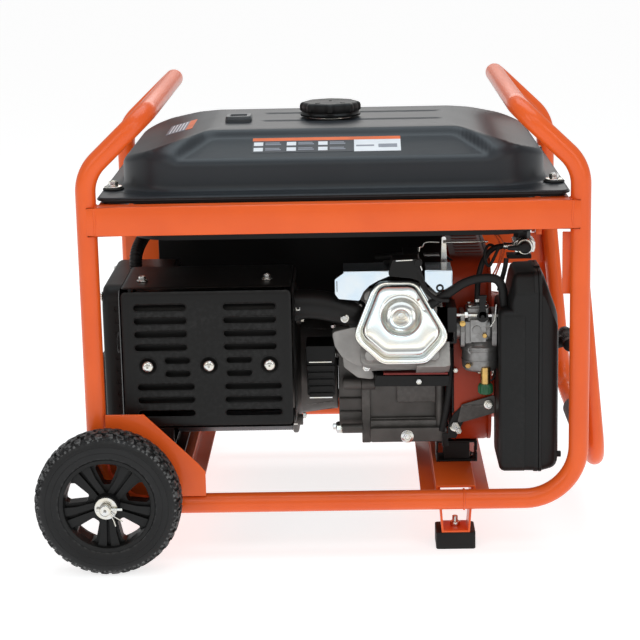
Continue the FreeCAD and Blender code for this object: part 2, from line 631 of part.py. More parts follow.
def alternator():
    ring = [(0, 70), ("bell_end - stator_end", 70), ("bell_end - stator_end", "stator_radius"),
            (0, "stator_radius")]
    node("stator", turned(ring, "x", "stator_end", "crank_y", "crank_z"))
    bell = [(0, "stator_radius - 8"), (0, "stator_radius + 4"), (6, "stator_radius + 4"), (14, 84),
            (58, 78), (68, 78), (68, 40), (60, 40), (60, 70), (14, 76), (6, "stator_radius - 8")]
    node("alternator_bell", turned(bell, "x", "bell_end", "crank_y", "crank_z"))

    outer = block("end_cover_x", "stator_end - 0.2", "crank_y - 115", "crank_y + 115", 122, 366)
    inner = block("end_cover_x + 3", "stator_end + 1", "crank_y - 112", "crank_y + 112", 125, 363)
    vents = [block("end_cover_x - 5", "end_cover_x + 5", "crank_y - 80", "crank_y + 80", z, z + 8)
             for z in range(150, 345, 18)]
    side_vents = [block("end_cover_x + 18", "stator_end - 20", "crank_y - 120", "crank_y - 105", z, z + 8)
                  for z in range(150, 345, 18)]
    inner = rounded(inner, 23, runs("x"))
    node("alternator_end_cover", cut(rounded(outer, 26, runs("x")), inner, *vents, *side_vents))

    hood = cut(block(-44, -2, 98, 156.8, 203, 281), block(-41, -5, 101, 158, 206, 278),
               *[block(-40, -6, 90, 104, z, z + 7) for z in range(211, 272, 12)])
    node("air_outlet_box", hood)


def exhaust():
    can = rounded(block(-288, -74, 24, 116, 202, 370), 24, runs("x"))
    pipe = rod(18, 106, -74, 62, 341, "x")
    tail = rod(15, 20, -308, 62, 300, "x")
    node("muffler", fuse(can, pipe, tail))

    sheet_t = "shield_sheet"

    def front_edge(edge):
        return edge.Vertexes[0].Y < 20 and (runs("x")(edge) or runs("z")(edge))
    outer = block("shield_left", "shield_right", "shield_front", "shield_side + 60",
                  "shield_low", "shield_high")
    inner = block(f"shield_left + {sheet_t}", f"shield_right - {sheet_t}", f"shield_front + {sheet_t}",
                  "shield_side + 70", f"shield_low + {sheet_t}", f"shield_high - {sheet_t}")
    outer = rounded(outer, 12, front_edge)
    inner = rounded(inner, 10.5, front_edge)
    behind_sides = block("shield_left - 1", "shield_right + 1", "shield_side", "shield_side + 80",
                         "shield_low - 1", "shield_high - 20")
    behind_top = block("shield_left - 1", "shield_right + 1", "shield_back", "shield_side + 80",
                       "shield_high - 21", "shield_high + 1")
    middle_z = 284.9
    slots = []
    for line in range(-4, 5):
        z = f"{middle_z} - {line} * slot_pitch"
        if line in (0, 1):
            spans = ((-238, -203), (-152, -117))
        else:
            shift = 4 if line > 1 else 0
            spans = ((-279, -206 + 2 * shift), (-155, -82 + shift))
        for left, right in spans:
            slots.append(block(left, right, "shield_front - 5", "shield_front + 5",
                               f"{z} - slot_tall / 2", f"{z} + slot_tall / 2"))
    holes = [rod(3.2, 12, x, "shield_front - 5", 277, "y") for x in (-262, -176.7, -92.3)]
    openings = [rod(21, 20, "shield_right - 10", 62, 341, "x"), rod(18, 20, "shield_left - 10", 62, 300, "x")]
    node("muffler_shield", cut(outer, inner, behind_sides, behind_top, *slots, *holes, *openings))


def cooling_and_starter():
    outer = rounded(block("shroud_x", "shroud_end", "shroud_front", "shroud_back",
                          "shroud_low", "shroud_high"), 55, runs("x"))
    inner = rounded(block("shroud_x - 1", "shroud_end - 2", "shroud_front + 2", "shroud_back - 2",
                          "shroud_low + 2", "shroud_high - 2"), 53, runs("x"))
    node("fan_shroud", cut(outer, inner, rod(88, 20, "shroud_end - 10", "crank_y", "crank_z", "x")))

    shell = [(0.1, 96), (2.5, 96), (52, 91), (68, 74), (68, 0), (65.5, 0), (65.5, 72),
             (50.5, 88.5), (0.1, 93.5)]
    cup = turned(shell, "x", "shroud_end", "crank_y", "crank_z")
    eye = rod(13, 20, "shroud_end + 63", "crank_y - 40", "crank_z + 14", "x")
    boss = rod(11.92, 24, "shroud_end + 42", "crank_y", "crank_z", "x")
    vents = [block("shroud_end + 60", "shroud_end + 75", "crank_y + 18", "crank_y + 52", z, z + 7)
             for z in range(180, 290, 14)]
    rope_way = rod(8, 60, "shroud_end + 40", "crank_y - 40", "crank_z + 14", "x")
    node("recoil_housing", cut(fuse(cup, eye, boss), rope_way, *vents))
    reel = [(0, 12), (14, 12), (14, 66), (11, 66), (9, 60), (5, 60), (3, 66), (0, 66)]
    node("recoil_pulley", turned(reel, "x", "shroud_end + 46", "crank_y", "crank_z"))
    bar = rod(10.5, 84, 0, 0, -42)
    stem = rod(7, 26, -26, 0, 0, "x")
    cord = rod(2.5, 20, -44, 0, 0, "x")
    grip = fuse(bar, stem, cord)
    grip.Placement = Placement(Vector(0, 0, 0), Rotation(Vector(0, 1, 0), -25))
    node("recoil_grip", at(grip, 341, "crank_y - 40", "crank_z + 31"))


def air_cleaner():
    low, high, top, wall = "cleaner_low", "cleaner_high", "cleaner_top", "cleaner_wall"
    front, back = "cleaner_front", "cleaner_back"

    def case(left, right, narrow_left, narrow_right, inset):
        near, far = f"{front} + {inset}", f"{back} - {inset}"
        return fuse(block(left, right, near, far, f"{low} + {inset}", f"{high} - {inset}"),
                    block(narrow_left, narrow_right, near, far, f"{high} - {inset} - 1", f"{top} - {inset}"))
    base = cut(case("cleaner_left", "cleaner_split", "cleaner_left + 19", "cleaner_split", 0),
               case(f"cleaner_left + {wall}", "cleaner_split + 1", f"cleaner_left + 19 + {wall}",
                    "cleaner_split + 1", wall),
               rod(14, 10, "cleaner_left - 5", 59, 313, "x"), rod(7, 12, 235.5, 40, "cleaner_high - 6"))
    node("air_cleaner_base", base)
    cover = cut(case("cleaner_split + 0.3", "cleaner_right", "cleaner_split + 0.3", "cleaner_right - 12", 0),
                case("cleaner_split", f"cleaner_right - {wall}", "cleaner_split",
                     f"cleaner_right - 12 - {wall}", wall))
    node("air_cleaner_cover", cover)
    node("filter_element", block("cleaner_split - 22", "cleaner_split + 14", f"{front} + 8", f"{back} - 8",
                                 f"{low} + 12", f"{high} - 14"))


def carburettor():
    x, y, z = 197, 59, 313
    body = fuse(rod(19, 40, x - 18, y, z, "x"), block(x - 22.4, x - 17, y - 27, y + 27, z - 24, z + 24),
                block(x + 21, x + 28.8, y - 27, y + 27, z - 24, z + 24), rod(22, 32, x, y, z - 32),
                block(x - 14, x + 18, y - 16, y + 16, z + 12, z + 32))
    throat = rod(12, 80, x - 40, y, z, "x")
    bowl = fuse(rod(24, 30, x, y, z - 62.2), rod(8, 12, x, y, z - 74))
    solenoid = fuse(rod(8, 22, x + 12, y - 22, z - 82), rod(10, 14, x + 12, y - 22, z - 96))
    node("carburettor", group(cut(body, throat), bowl, solenoid))
    choke = fuse(rod(4, 8, x + 8, y - 24.5, z + 22, "y"),
                 block(x + 5, x + 11, y - 26, y - 24, z + 20, z + 52))
    node("choke_lever", choke)


def governor():
    arm_x, arm_y, arm_z = 155, 108, 386
    arm = fuse(block(arm_x - 6, arm_x + 6, arm_y, arm_y + 2, arm_z - 6, arm_z + 50),
               rod(4, 10, arm_x, arm_y, arm_z, "y"))
    node("governor_arm", cut(arm, rod(1.56, 6, arm_x, arm_y - 2, arm_z + 42, "y")))
    link = fuse(rod(1.5, 62, arm_x, arm_y - 4, arm_z + 42, "x"),
                rod(1.5, 8, arm_x, arm_y - 4.6, arm_z + 42, "y"))
    node("governor_link", link)


def deflectors_and_bolts():
    left = [(0, 387), (17, 396), (70, 397), (49, 378), (33, 360), (7, 360), (0, 368)]
    right = [(127, 399), (164, 398), (164, 376), (142, 370), (127, 385)]
    node("heat_deflectors", group(plate("xz", left, 1.5, 0, 30, 0), plate("xz", right, 1.5, 0, 30, 0)))
    bolts = [valve_cover_bolt()]
    bolts += [fuse(rod(6.5, 5, x, "shield_front - 5.2", 277, "y"),
                   rod(3, 14, x, "shield_front - 2", 277, "y"))
              for x in (-262, -176.7, -92.3)]
    bolts += [rod(5.5, 5, x, "case_front - 27.2", "case_low + 6", "y") for x in (40, 96.5, 140)]
    node("engine_fasteners", group(*bolts))


def hoses_and_wires():
    breather = [(142, 36, 361), (160, 35, 370), (180, 38, 384), (208, 40, 390), (232, 40, 386),
                (236, 40, 345)]
    fuel = [(239.4, 90, 424), (222, 88, 422), (207, 80, 404), (200, 68, 378), (199, 62, 345.8)]
    tubes = [swept(breather, bend_radius(breather), 12.5), swept(fuel, bend_radius(fuel), 8)]
    node("engine_hoses", feature(Part.makeCompound(tubes)))
    harness = [(-300, 250, 368), (-300, 252, 392), (-290, 290, 412), (-272, 350, 420), (-263, 400, 420),
               (-263, 424.5, 420)]
    node("wiring_conduit", feature(swept(harness, bend_radius(harness), 20)))


def mounts():
    steel = []
    rubber = []
    for y_low, y_high in ((128, 166), (312, 350)):
        steel.append(fuse(block(143, 203, y_low, y_high, "member_top", "member_top + 3"),
                          block(143, 146, y_low, y_high, "member_top", "member_top + 13"),
                          block(200, 203, y_low, y_high, "member_top", "member_top + 13")))
        steel.append(fuse(block(143, 203, y_low, y_high, 124.6, 127.6),
                          block(143, 146, y_low, y_high, 113, 127.6),
                          block(200, 203, y_low, y_high, 113, 127.6),
                          block(143, 157, y_low, y_high, 127.6, "case_low")))
        rubber.append(block(154, 192, y_low + 3, y_high - 3, "member_top + 3", 124.6))
    strut = [(158.2, 142), (170, 142), (182, 170), (225.8, 184), (225.8, 205), (178, 190), (166, 178),
             (158.2, 160)]
    steel.append(fuse(plate("xz", strut, 2.5, 0, 94.7, 0), block(150, 159, 92.2, 94.7, 130, 150),
                      block(150, 157, 94.2, 98, 130, 142)))
    for y in (150, 330):
        steel.append(block("member_left_x - 22", "member_left_x + 22", y - 18, y + 18,
                           "member_top", "member_top + 2"))
        rubber.append(block("member_left_x - 18", "member_left_x + 18", y - 15, y + 15,
                            "member_top + 2", 108))
    saddle = fuse(block("member_left_x - 18", "member_left_x + 18", 130, 350, 108, 112),
                  block("member_left_x - 8", "member_left_x + 4", 205, 275, 112, 121.8))
    steel.append(saddle)
    node("engine_mounts", group(*steel))
    grommets = []
    for side in ("-", ""):
        for y in ("tank_bolt_y", "frame_depth - tank_bolt_y"):
            grommets.append(cut(rod(12, "flange_low - rail_top", f"{side}end_rail_x", y, "rail_top"),
                                rod(3.5, 10, f"{side}end_rail_x", y, "rail_top - 2")))
    node("rubber_mounts", group(*rubber, *grommets))


def control_panel():
    shell = cut(block("panel_left", "panel_right", "panel_y", "panel_face", "panel_low", "panel_high"),
                block("panel_left + 1.5", "panel_right - 1.5", "panel_y - 1", "panel_face - 2",
                      "panel_low + 1.5", "panel_high - 1.5"),
                block("panel_right - 92", "panel_right - 68", "panel_face - 5", "panel_face + 5", 388, 424),
                block("panel_right - 172", "panel_right - 138", "panel_face - 5", "panel_face + 5", 384, 428))
    back = block("panel_left + 1.5", "panel_right - 1.5", "panel_y", "panel_y + 1.5", "panel_low + 1.5",
                 "panel_high - 1.5")
    ear = cut(fuse(block(-303, -272, "panel_face + 3.4", "panel_face + 5.9", 318, 342),
                   block(-278.6, -272, "panel_face - 1", "panel_face + 5.9", 318, 342)),
              rod(3, 10, -291, "panel_face", 330, "y"))
    node("control_panel", fuse(shell, back, ear))
    sockets = [rod(24, 9, x, "panel_face + 0.1", 240, "y") for x in (-240, -168, -96, -24)]
    sockets += [rod(30, 9, x, "panel_face + 0.1", 330, "y") for x in (-220, -130)]
    node("panel_sockets", group(*sockets))
    lever = fuse(rod(13, 21, "panel_right - 165.5", "panel_face - 6", 406, "x"),
                 block("panel_right - 163", "panel_right - 147", "panel_face - 6", "panel_face + 12",
                       402, 410))
    node("breaker_lever", lever)
    rocker = [(-9, -16), (3, -16), (-1, 0), (3, 16), (-9, 16)]
    node("engine_switch", plate("yz", rocker, 20, "panel_right - 90", "panel_face + 1", 406))


def make_all():
    frame()
    axles_and_fasteners()
    wheels()
    handle()
    tank()
    crankcase()
    cylinder_top()
    crank_train()
    alternator()
    exhaust()
    cooling_and_starter()
    air_cleaner()
    carburettor()
    governor()
    deflectors_and_bolts()
    hoses_and_wires()
    mounts()
    control_panel()


def check_and_export():
    doc.recompute()
    failed = [item for item in doc.Objects if "Invalid" in item.State or "Error" in item.State]
    if failed:
        raise RuntimeError([(item.Label, [user.Label for user in item.InList]) for item in failed])
    for item in nodes:
        if item.Shape.isNull() or not item.Shape.isValid():
            raise RuntimeError(f"{item.Label} has no valid shape")
    os.makedirs("parts", exist_ok=True)
    for item in nodes:
        item.Shape.exportStep(f"parts/{item.Label}.step")
    whole = Part.makeCompound([item.Shape for item in nodes]).BoundBox
    print(len(nodes), "nodes;", "box", [round(v, 1) for v in (whole.XMin, whole.XMax, whole.YMin, whole.YMax,
                                                            whole.ZMin, whole.ZMax)])


make_all()
check_and_export()
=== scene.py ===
"""Portable generator: finished surfaces and small parts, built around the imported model.

Pieces are drawn in millimetres from one datum: X from the middle of the frame, Y from the axis of
the front frame tubes, Z from the floor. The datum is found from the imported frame.
"""
import json
import math
import random

import bmesh
import bpy
from mathutils import Matrix, Vector


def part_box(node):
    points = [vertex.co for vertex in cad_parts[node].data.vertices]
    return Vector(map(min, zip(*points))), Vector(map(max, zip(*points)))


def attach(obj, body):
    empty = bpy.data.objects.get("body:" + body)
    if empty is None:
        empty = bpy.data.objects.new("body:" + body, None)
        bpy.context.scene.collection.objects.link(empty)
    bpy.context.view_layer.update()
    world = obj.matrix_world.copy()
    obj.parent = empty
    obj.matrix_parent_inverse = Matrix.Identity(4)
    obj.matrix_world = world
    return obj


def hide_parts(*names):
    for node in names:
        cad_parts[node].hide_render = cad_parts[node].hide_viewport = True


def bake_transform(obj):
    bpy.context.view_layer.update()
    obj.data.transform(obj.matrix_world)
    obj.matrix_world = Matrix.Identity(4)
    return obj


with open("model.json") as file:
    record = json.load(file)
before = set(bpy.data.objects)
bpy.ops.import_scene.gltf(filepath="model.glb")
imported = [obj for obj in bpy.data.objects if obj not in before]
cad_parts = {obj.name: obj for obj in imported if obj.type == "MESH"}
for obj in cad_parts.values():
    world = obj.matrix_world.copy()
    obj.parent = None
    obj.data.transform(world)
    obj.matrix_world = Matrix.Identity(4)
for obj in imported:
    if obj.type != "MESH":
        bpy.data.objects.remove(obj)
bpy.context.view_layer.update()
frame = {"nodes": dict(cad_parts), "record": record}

MM = 0.001
TUBE_RADIUS = 14
POST_X = 336
DEPTH = 500
LEFT_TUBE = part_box("hoop_left")[0]
MID_X = LEFT_TUBE.x + (POST_X + TUBE_RADIUS) * MM
MID_Y = LEFT_TUBE.y + TUBE_RADIUS * MM
DATUM = Matrix.Translation((MID_X, MID_Y, 0)) @ Matrix.Diagonal((MM, MM, MM, 1))
BODY_OF = {node: body
           for body, members in frame["record"]["behaviour"]["bodies"].items()
           for node in members}
CRANK = (0, 240, 230)
LEAN = math.radians(-25)
WHEEL = (-317, -50, 101.5)


# ------------------------------------------------------------------ making pieces

def arc(centre, radius, first, last, steps):
    """Points along an arc, angles in degrees."""
    return [(centre[0] + radius * math.cos(math.radians(first + (last - first) * k / steps)),
             centre[1] + radius * math.sin(math.radians(first + (last - first) * k / steps)))
            for k in range(steps + 1)]


def rounded_outline(low, high, radius, steps=8):
    """A rectangle with round corners, anticlockwise."""
    (x0, y0), (x1, y1) = low, high
    return (arc((x1 - radius, y0 + radius), radius, -90, 0, steps)
            + arc((x1 - radius, y1 - radius), radius, 0, 90, steps)
            + arc((x0 + radius, y1 - radius), radius, 90, 180, steps)
            + arc((x0 + radius, y0 + radius), radius, 180, 270, steps))


def rounded_polygon(points, radius, steps=6):
    """A polygon, anticlockwise, with the same bend radius at every corner."""
    result = []
    count = len(points)
    for k, corner in enumerate(points):
        here = Vector(corner)
        back = (Vector(points[k - 1]) - here)
        ahead = (Vector(points[(k + 1) % count]) - here)
        half = back.angle(ahead) / 2
        reach = min(radius / math.tan(half), 0.48 * back.length, 0.48 * ahead.length)
        first, last = here + back.normalized() * reach, here + ahead.normalized() * reach
        for step in range(steps + 1):
            share = step / steps
            result.append(tuple((1 - share) ** 2 * first + 2 * share * (1 - share) * here
                                + share ** 2 * last))
    return result


def softened(points, rounds=3):
    """A smooth line near a route's points (corner cutting, ends kept)."""
    line = [Vector(point) for point in points]
    for _ in range(rounds):
        cut = [line[0]]
        for a, b in zip(line, line[1:]):
            cut += [a.lerp(b, 0.25), a.lerp(b, 0.75)]
        line = cut + [line[-1]]
    return line


class Piece:
    """One piece being made: closed shapes gathered in one mesh, in millimetres from the datum."""

    def __init__(self):
        self.mesh = bmesh.new()

    def add(self, rings, capped=True, joined=False):
        """Skin a row of rings that have the same number of points."""
        rows = [[self.mesh.verts.new(point) for point in ring] for ring in rings]
        if joined:
            rows.append(rows[0])
        for low, high in zip(rows, rows[1:]):
            for k in range(len(low)):
                m = (k + 1) % len(low)
                self.mesh.faces.new((low[k], low[m], high[m], high[k]))
        if capped and not joined:
            self.mesh.faces.new(rows[0][::-1])
            self.mesh.faces.new(rows[-1])
        return self

    def block(self, x, y, z):
        return self.slab([(x[0], z[0]), (x[1], z[0]), (x[1], z[1]), (x[0], z[1])], y)

    def slab(self, outline, span, plane="xz"):
        """A prism: an outline on one plane, from span[0] to span[1] along the plane's normal."""
        place = {"xz": lambda a, b, c: (a, c, b), "xy": lambda a, b, c: (a, b, c),
                 "yz": lambda a, b, c: (c, a, b)}[plane]
        return self.add([[place(a, b, level) for a, b in outline] for level in span])

    def rod(self, start, end, radius, end_radius=None, sides=32):
        """A round bar, or a cone, between two points."""
        return self.lathe([(0, radius), ((Vector(end) - Vector(start)).length,
                                         radius if end_radius is None else end_radius)],
                          start, Vector(end) - Vector(start), sides)

    def lathe(self, profile, start, direction, sides=48, joined=False):
        """Turn a profile of (distance along, radius) about an axis."""
        turn = Vector(direction).to_track_quat("Z", "Y").to_matrix()
        rings = []
        for along, radius in profile:
            rings.append([Vector(start) + turn @ Vector((radius * math.cos(2 * math.pi * k / sides),
                                                         radius * math.sin(2 * math.pi * k / sides), along))
                          for k in range(sides)])
        return self.add(rings, joined=joined)

    def hexagon(self, start, end, flats):
        """A hexagonal head: flats is the distance between opposite sides."""
        return self.rod(start, end, flats / math.sqrt(3), sides=6)

    def tube(self, points, radius, sides=20, closed=False):
        """A round bar along a line of points."""
        line = [Vector(point) for point in points]
        count = len(line)
        rings = []
        side = None
        for k, here in enumerate(line):
            back = line[k - 1] if k or closed else here
            ahead = line[(k + 1) % count] if k < count - 1 or closed else here
            along = (ahead - back).normalized()
            if side is None:
                side = along.orthogonal().normalized()
            side = (side - along * side.dot(along)).normalized()
            other = along.cross(side)
            rings.append([here + radius * (math.cos(2 * math.pi * m / sides) * side
                                           + math.sin(2 * math.pi * m / sides) * other)
                          for m in range(sides)])
        return self.add(rings, joined=closed)

    def bolt(self, place, direction, flats=10, washer=0, dish=0.8):
        """A hexagon head on an optional washer, standing on a surface."""
        along = Vector(direction).normalized()
        foot = Vector(place)
        if washer:
            self.lathe([(0, washer), (1.2, washer), (1.6, washer - 0.6), (1.6, 2), (0, 2)], foot, along,
                       joined=True)
            foot = foot + along * 1.6
        self.hexagon(foot, foot + along * flats * 0.55, flats)
        self.lathe([(flats * 0.5, flats * 0.42), (flats * 0.62, flats * 0.40), (flats * 0.62, flats * 0.30),
                    (flats * 0.62 - dish, flats * 0.26), (flats * 0.62 - dish, 0.01)], foot, along, 24)
        return self

    def move(self, matrix, start=0):
        """Place everything added since vertex number start."""
        self.mesh.verts.ensure_lookup_table()
        for vert in self.mesh.verts[start:]:
            vert.co = matrix @ vert.co
        return self

    def size(self):
        return len(self.mesh.verts)

    def leaned(self, start=0):
        """Stand what was drawn with the cylinder along -Y on the leaning cylinder axis."""
        return self.move(Matrix.Translation((92, CRANK[1], CRANK[2])) @ Matrix.Rotation(LEAN, 4, "X"),
                         start)

    def mirrored(self, keep=True):
        """Add the same shapes on the rear side, or move them there."""
        mirror = Matrix.Translation((0, DEPTH, 0)) @ Matrix.Diagonal((1, -1, 1, 1))
        if not keep:
            return self.move(mirror)
        extra = bmesh.ops.duplicate(self.mesh,
                                    geom=self.mesh.verts[:] + self.mesh.edges[:] + self.mesh.faces[:])
        for item in extra["geom"]:
            if isinstance(item, bmesh.types.BMVert):
                item.co = mirror @ item.co
        return self

    def build(self, name, finish, body="frame", replaces=(), bevel=0.6, segments=2, smooth=35, carve=None):
        """Turn the shapes into a finished piece that rides on a body."""
        bmesh.ops.recalc_face_normals(self.mesh, faces=self.mesh.faces)
        self.mesh.transform(DATUM)
        mesh = bpy.data.meshes.new(name)
        self.mesh.to_mesh(mesh)
        self.mesh.free()
        piece = bpy.data.objects.new(name, mesh)
        bpy.context.scene.collection.objects.link(piece)
        if carve:
            cut_away(piece, carve)
        dress(piece, finish, bevel, segments, smooth)
        if body:
            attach(piece, body)
        if replaces:
            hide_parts(*replaces)
        return piece


def cut_away(piece, cutter):
    """Cut the shapes of another Piece out of this one."""
    bmesh.ops.recalc_face_normals(cutter.mesh, faces=cutter.mesh.faces)
    cutter.mesh.transform(DATUM)
    mesh = bpy.data.meshes.new("cutter")
    cutter.mesh.to_mesh(mesh)
    tool = bpy.data.objects.new("cutter", mesh)
    bpy.context.scene.collection.objects.link(tool)
    cut = piece.modifiers.new("cut", "BOOLEAN")
    cut.object = tool
    cut.operation = "DIFFERENCE"
    cut.solver = "EXACT"
    cut.use_self = True
    bpy.context.view_layer.update()
    seen = piece.evaluated_get(bpy.context.evaluated_depsgraph_get())
    result = bpy.data.meshes.new_from_object(seen)
    piece.modifiers.remove(cut)
    piece.data = result
    bpy.data.objects.remove(tool)


def dress(piece, finish, bevel, segments, smooth):
    """Give a piece its finish, smooth shading and softened edges."""
    piece.data.materials.clear()
    piece.data.materials.append(finish)
    piece.data.shade_smooth()
    if bevel:
        edge = piece.modifiers.new("softened edges", "BEVEL")
        edge.width = bevel * MM
        edge.segments = segments
        edge.limit_method = "ANGLE"
        edge.angle_limit = math.radians(smooth)
        edge.harden_normals = True
        edge.use_clamp_overlap = False
    else:
        piece.data.set_sharp_from_angle(angle=math.radians(smooth))


def refined(node, finish, bevel=0.5, segments=2):
    """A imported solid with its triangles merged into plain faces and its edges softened."""
    mesh = bmesh.new()
    mesh.from_mesh(frame["nodes"][node].data)
    bmesh.ops.remove_doubles(mesh, verts=mesh.verts, dist=2e-6)
    bmesh.ops.dissolve_limit(mesh, angle_limit=math.radians(0.5), verts=mesh.verts, edges=mesh.edges)
    data = bpy.data.meshes.new(node + "_finished")
    mesh.to_mesh(data)
    mesh.free()
    piece = bpy.data.objects.new(node + "_finished", data)
    bpy.context.scene.collection.objects.link(piece)
    dress(piece, finish, bevel, segments, 35)
    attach(piece, BODY_OF[node])
    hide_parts(node)
    return piece


# ------------------------------------------------------------------ finishes


def effect(name, inputs, outputs):
    """An empty shader node group with named values in and out."""
    tree = bpy.data.node_groups.new(name, "ShaderNodeTree")
    for label, kind, value in inputs:
        socket = tree.interface.new_socket(label, in_out="INPUT", socket_type=kind)
        if value is not None:
            socket.default_value = value
    for label, kind in outputs:
        tree.interface.new_socket(label, in_out="OUTPUT", socket_type=kind)
    return tree, tree.nodes.new("NodeGroupInput"), tree.nodes.new("NodeGroupOutput")


def node(tree, kind, links=(), **settings):
    """A shader node with its inputs linked or set."""
    made = tree.nodes.new(kind)
    for key, value in settings.items():
        setattr(made, key, value)
    for socket, value in links:
        target = made.inputs[socket]
        if isinstance(value, bpy.types.NodeSocket):
            tree.links.new(value, target)
        else:
            target.default_value = value
    return made


def maths(tree, operation, *values, clamp=False):
    return node(tree, "ShaderNodeMath", list(enumerate(values)), operation=operation,
                use_clamp=clamp).outputs[0]


def ramp(tree, value, low, high):
    """0 below low, 1 above high, smooth between."""
    return node(tree, "ShaderNodeMapRange", [(0, value), (1, low), (2, high)],
                interpolation_type="SMOOTHSTEP").outputs[0]


def grain_effect():
    """Fine surface grain and slow clouding of a coated, moulded or cast surface."""
    tree, given, out = effect("surface grain", [("Grain size", "NodeSocketFloat", 1.0),
                                                ("Cloud size", "NodeSocketFloat", 40.0)],
                              [("Grain", "NodeSocketFloat"), ("Cloud", "NodeSocketFloat")])
    place = node(tree, "ShaderNodeTexCoord").outputs["Object"]
    for label, size, detail in (("Grain", "Grain size", 3.0), ("Cloud", "Cloud size", 4.0)):
        scale = maths(tree, "DIVIDE", 1000.0, given.outputs[size])
        noise = node(tree, "ShaderNodeTexNoise", [("Vector", place), ("Scale", scale), ("Detail", detail)])
        tree.links.new(noise.outputs["Fac"], out.inputs[label])
    return tree


def edge_wear_and_highlight_effect():
    """Lighter convex edges, broken up so that they are not a clean line: wear, and on the tyre partly a
    painted highlight.
    """
    tree, given, out = effect("edge wear and highlight",
                              [("Amount", "NodeSocketFloat", 0.5), ("Break up", "NodeSocketFloat", 6.0)],
                              [("Mask", "NodeSocketFloat")])
    place = node(tree, "ShaderNodeTexCoord").outputs["Object"]
    scale = maths(tree, "DIVIDE", 1000.0, given.outputs["Break up"])
    noise = node(tree, "ShaderNodeTexNoise", [("Vector", place), ("Scale", scale), ("Detail", 5.0)])
    edge = ramp(tree, node(tree, "ShaderNodeNewGeometry").outputs["Pointiness"], 0.53, 0.62)
    broken = ramp(tree, noise.outputs["Fac"], 0.42, 0.62)
    mask = maths(tree, "MULTIPLY", maths(tree, "MULTIPLY", edge, broken), given.outputs["Amount"],
                 clamp=True)
    tree.links.new(mask, out.inputs["Mask"])
    return tree


def dust_effect():
    """A thin film of dust on what faces up, thicker in patches."""
    tree, given, out = effect("dust film",
                              [("Amount", "NodeSocketFloat", 0.2), ("Patch size", "NodeSocketFloat", 60.0)],
                              [("Mask", "NodeSocketFloat")])
    place = node(tree, "ShaderNodeTexCoord").outputs["Object"]
    scale = maths(tree, "DIVIDE", 1000.0, given.outputs["Patch size"])
    noise = node(tree, "ShaderNodeTexNoise", [("Vector", place), ("Scale", scale), ("Detail", 6.0)])
    up = node(tree, "ShaderNodeSeparateXYZ",
              [(0, node(tree, "ShaderNodeNewGeometry").outputs["Normal"])]).outputs["Z"]
    facing = ramp(tree, up, 0.1, 1.0)
    mask = maths(tree, "MULTIPLY",
                 maths(tree, "MULTIPLY", facing, ramp(tree, noise.outputs["Fac"], 0.3, 0.75)),
                 given.outputs["Amount"], clamp=True)
    tree.links.new(mask, out.inputs["Mask"])
    return tree


def scratch_effect():
    """Fine lines left by brushing, turning or handling, along one axis."""
    tree, given, out = effect("fine scratches", [("Stretch", "NodeSocketVector", (30.0, 900.0, 900.0))],
                              [("Lines", "NodeSocketFloat")])
    place = node(tree, "ShaderNodeTexCoord").outputs["Object"]
    stretched = node(tree, "ShaderNodeVectorMath", [(0, place), (1, given.outputs["Stretch"])],
                     operation="MULTIPLY").outputs[0]
    noise = node(tree, "ShaderNodeTexNoise", [("Vector", stretched), ("Scale", 1.0), ("Detail", 4.0)])
    tree.links.new(noise.outputs["Fac"], out.inputs["Lines"])
    return tree


GRAIN, EDGE_WEAR_AND_HIGHLIGHT, DUST, SCRATCH = grain_effect(), edge_wear_and_highlight_effect(), dust_effect(), scratch_effect()
DUST_COLOUR = (0.36, 0.33, 0.29, 1)


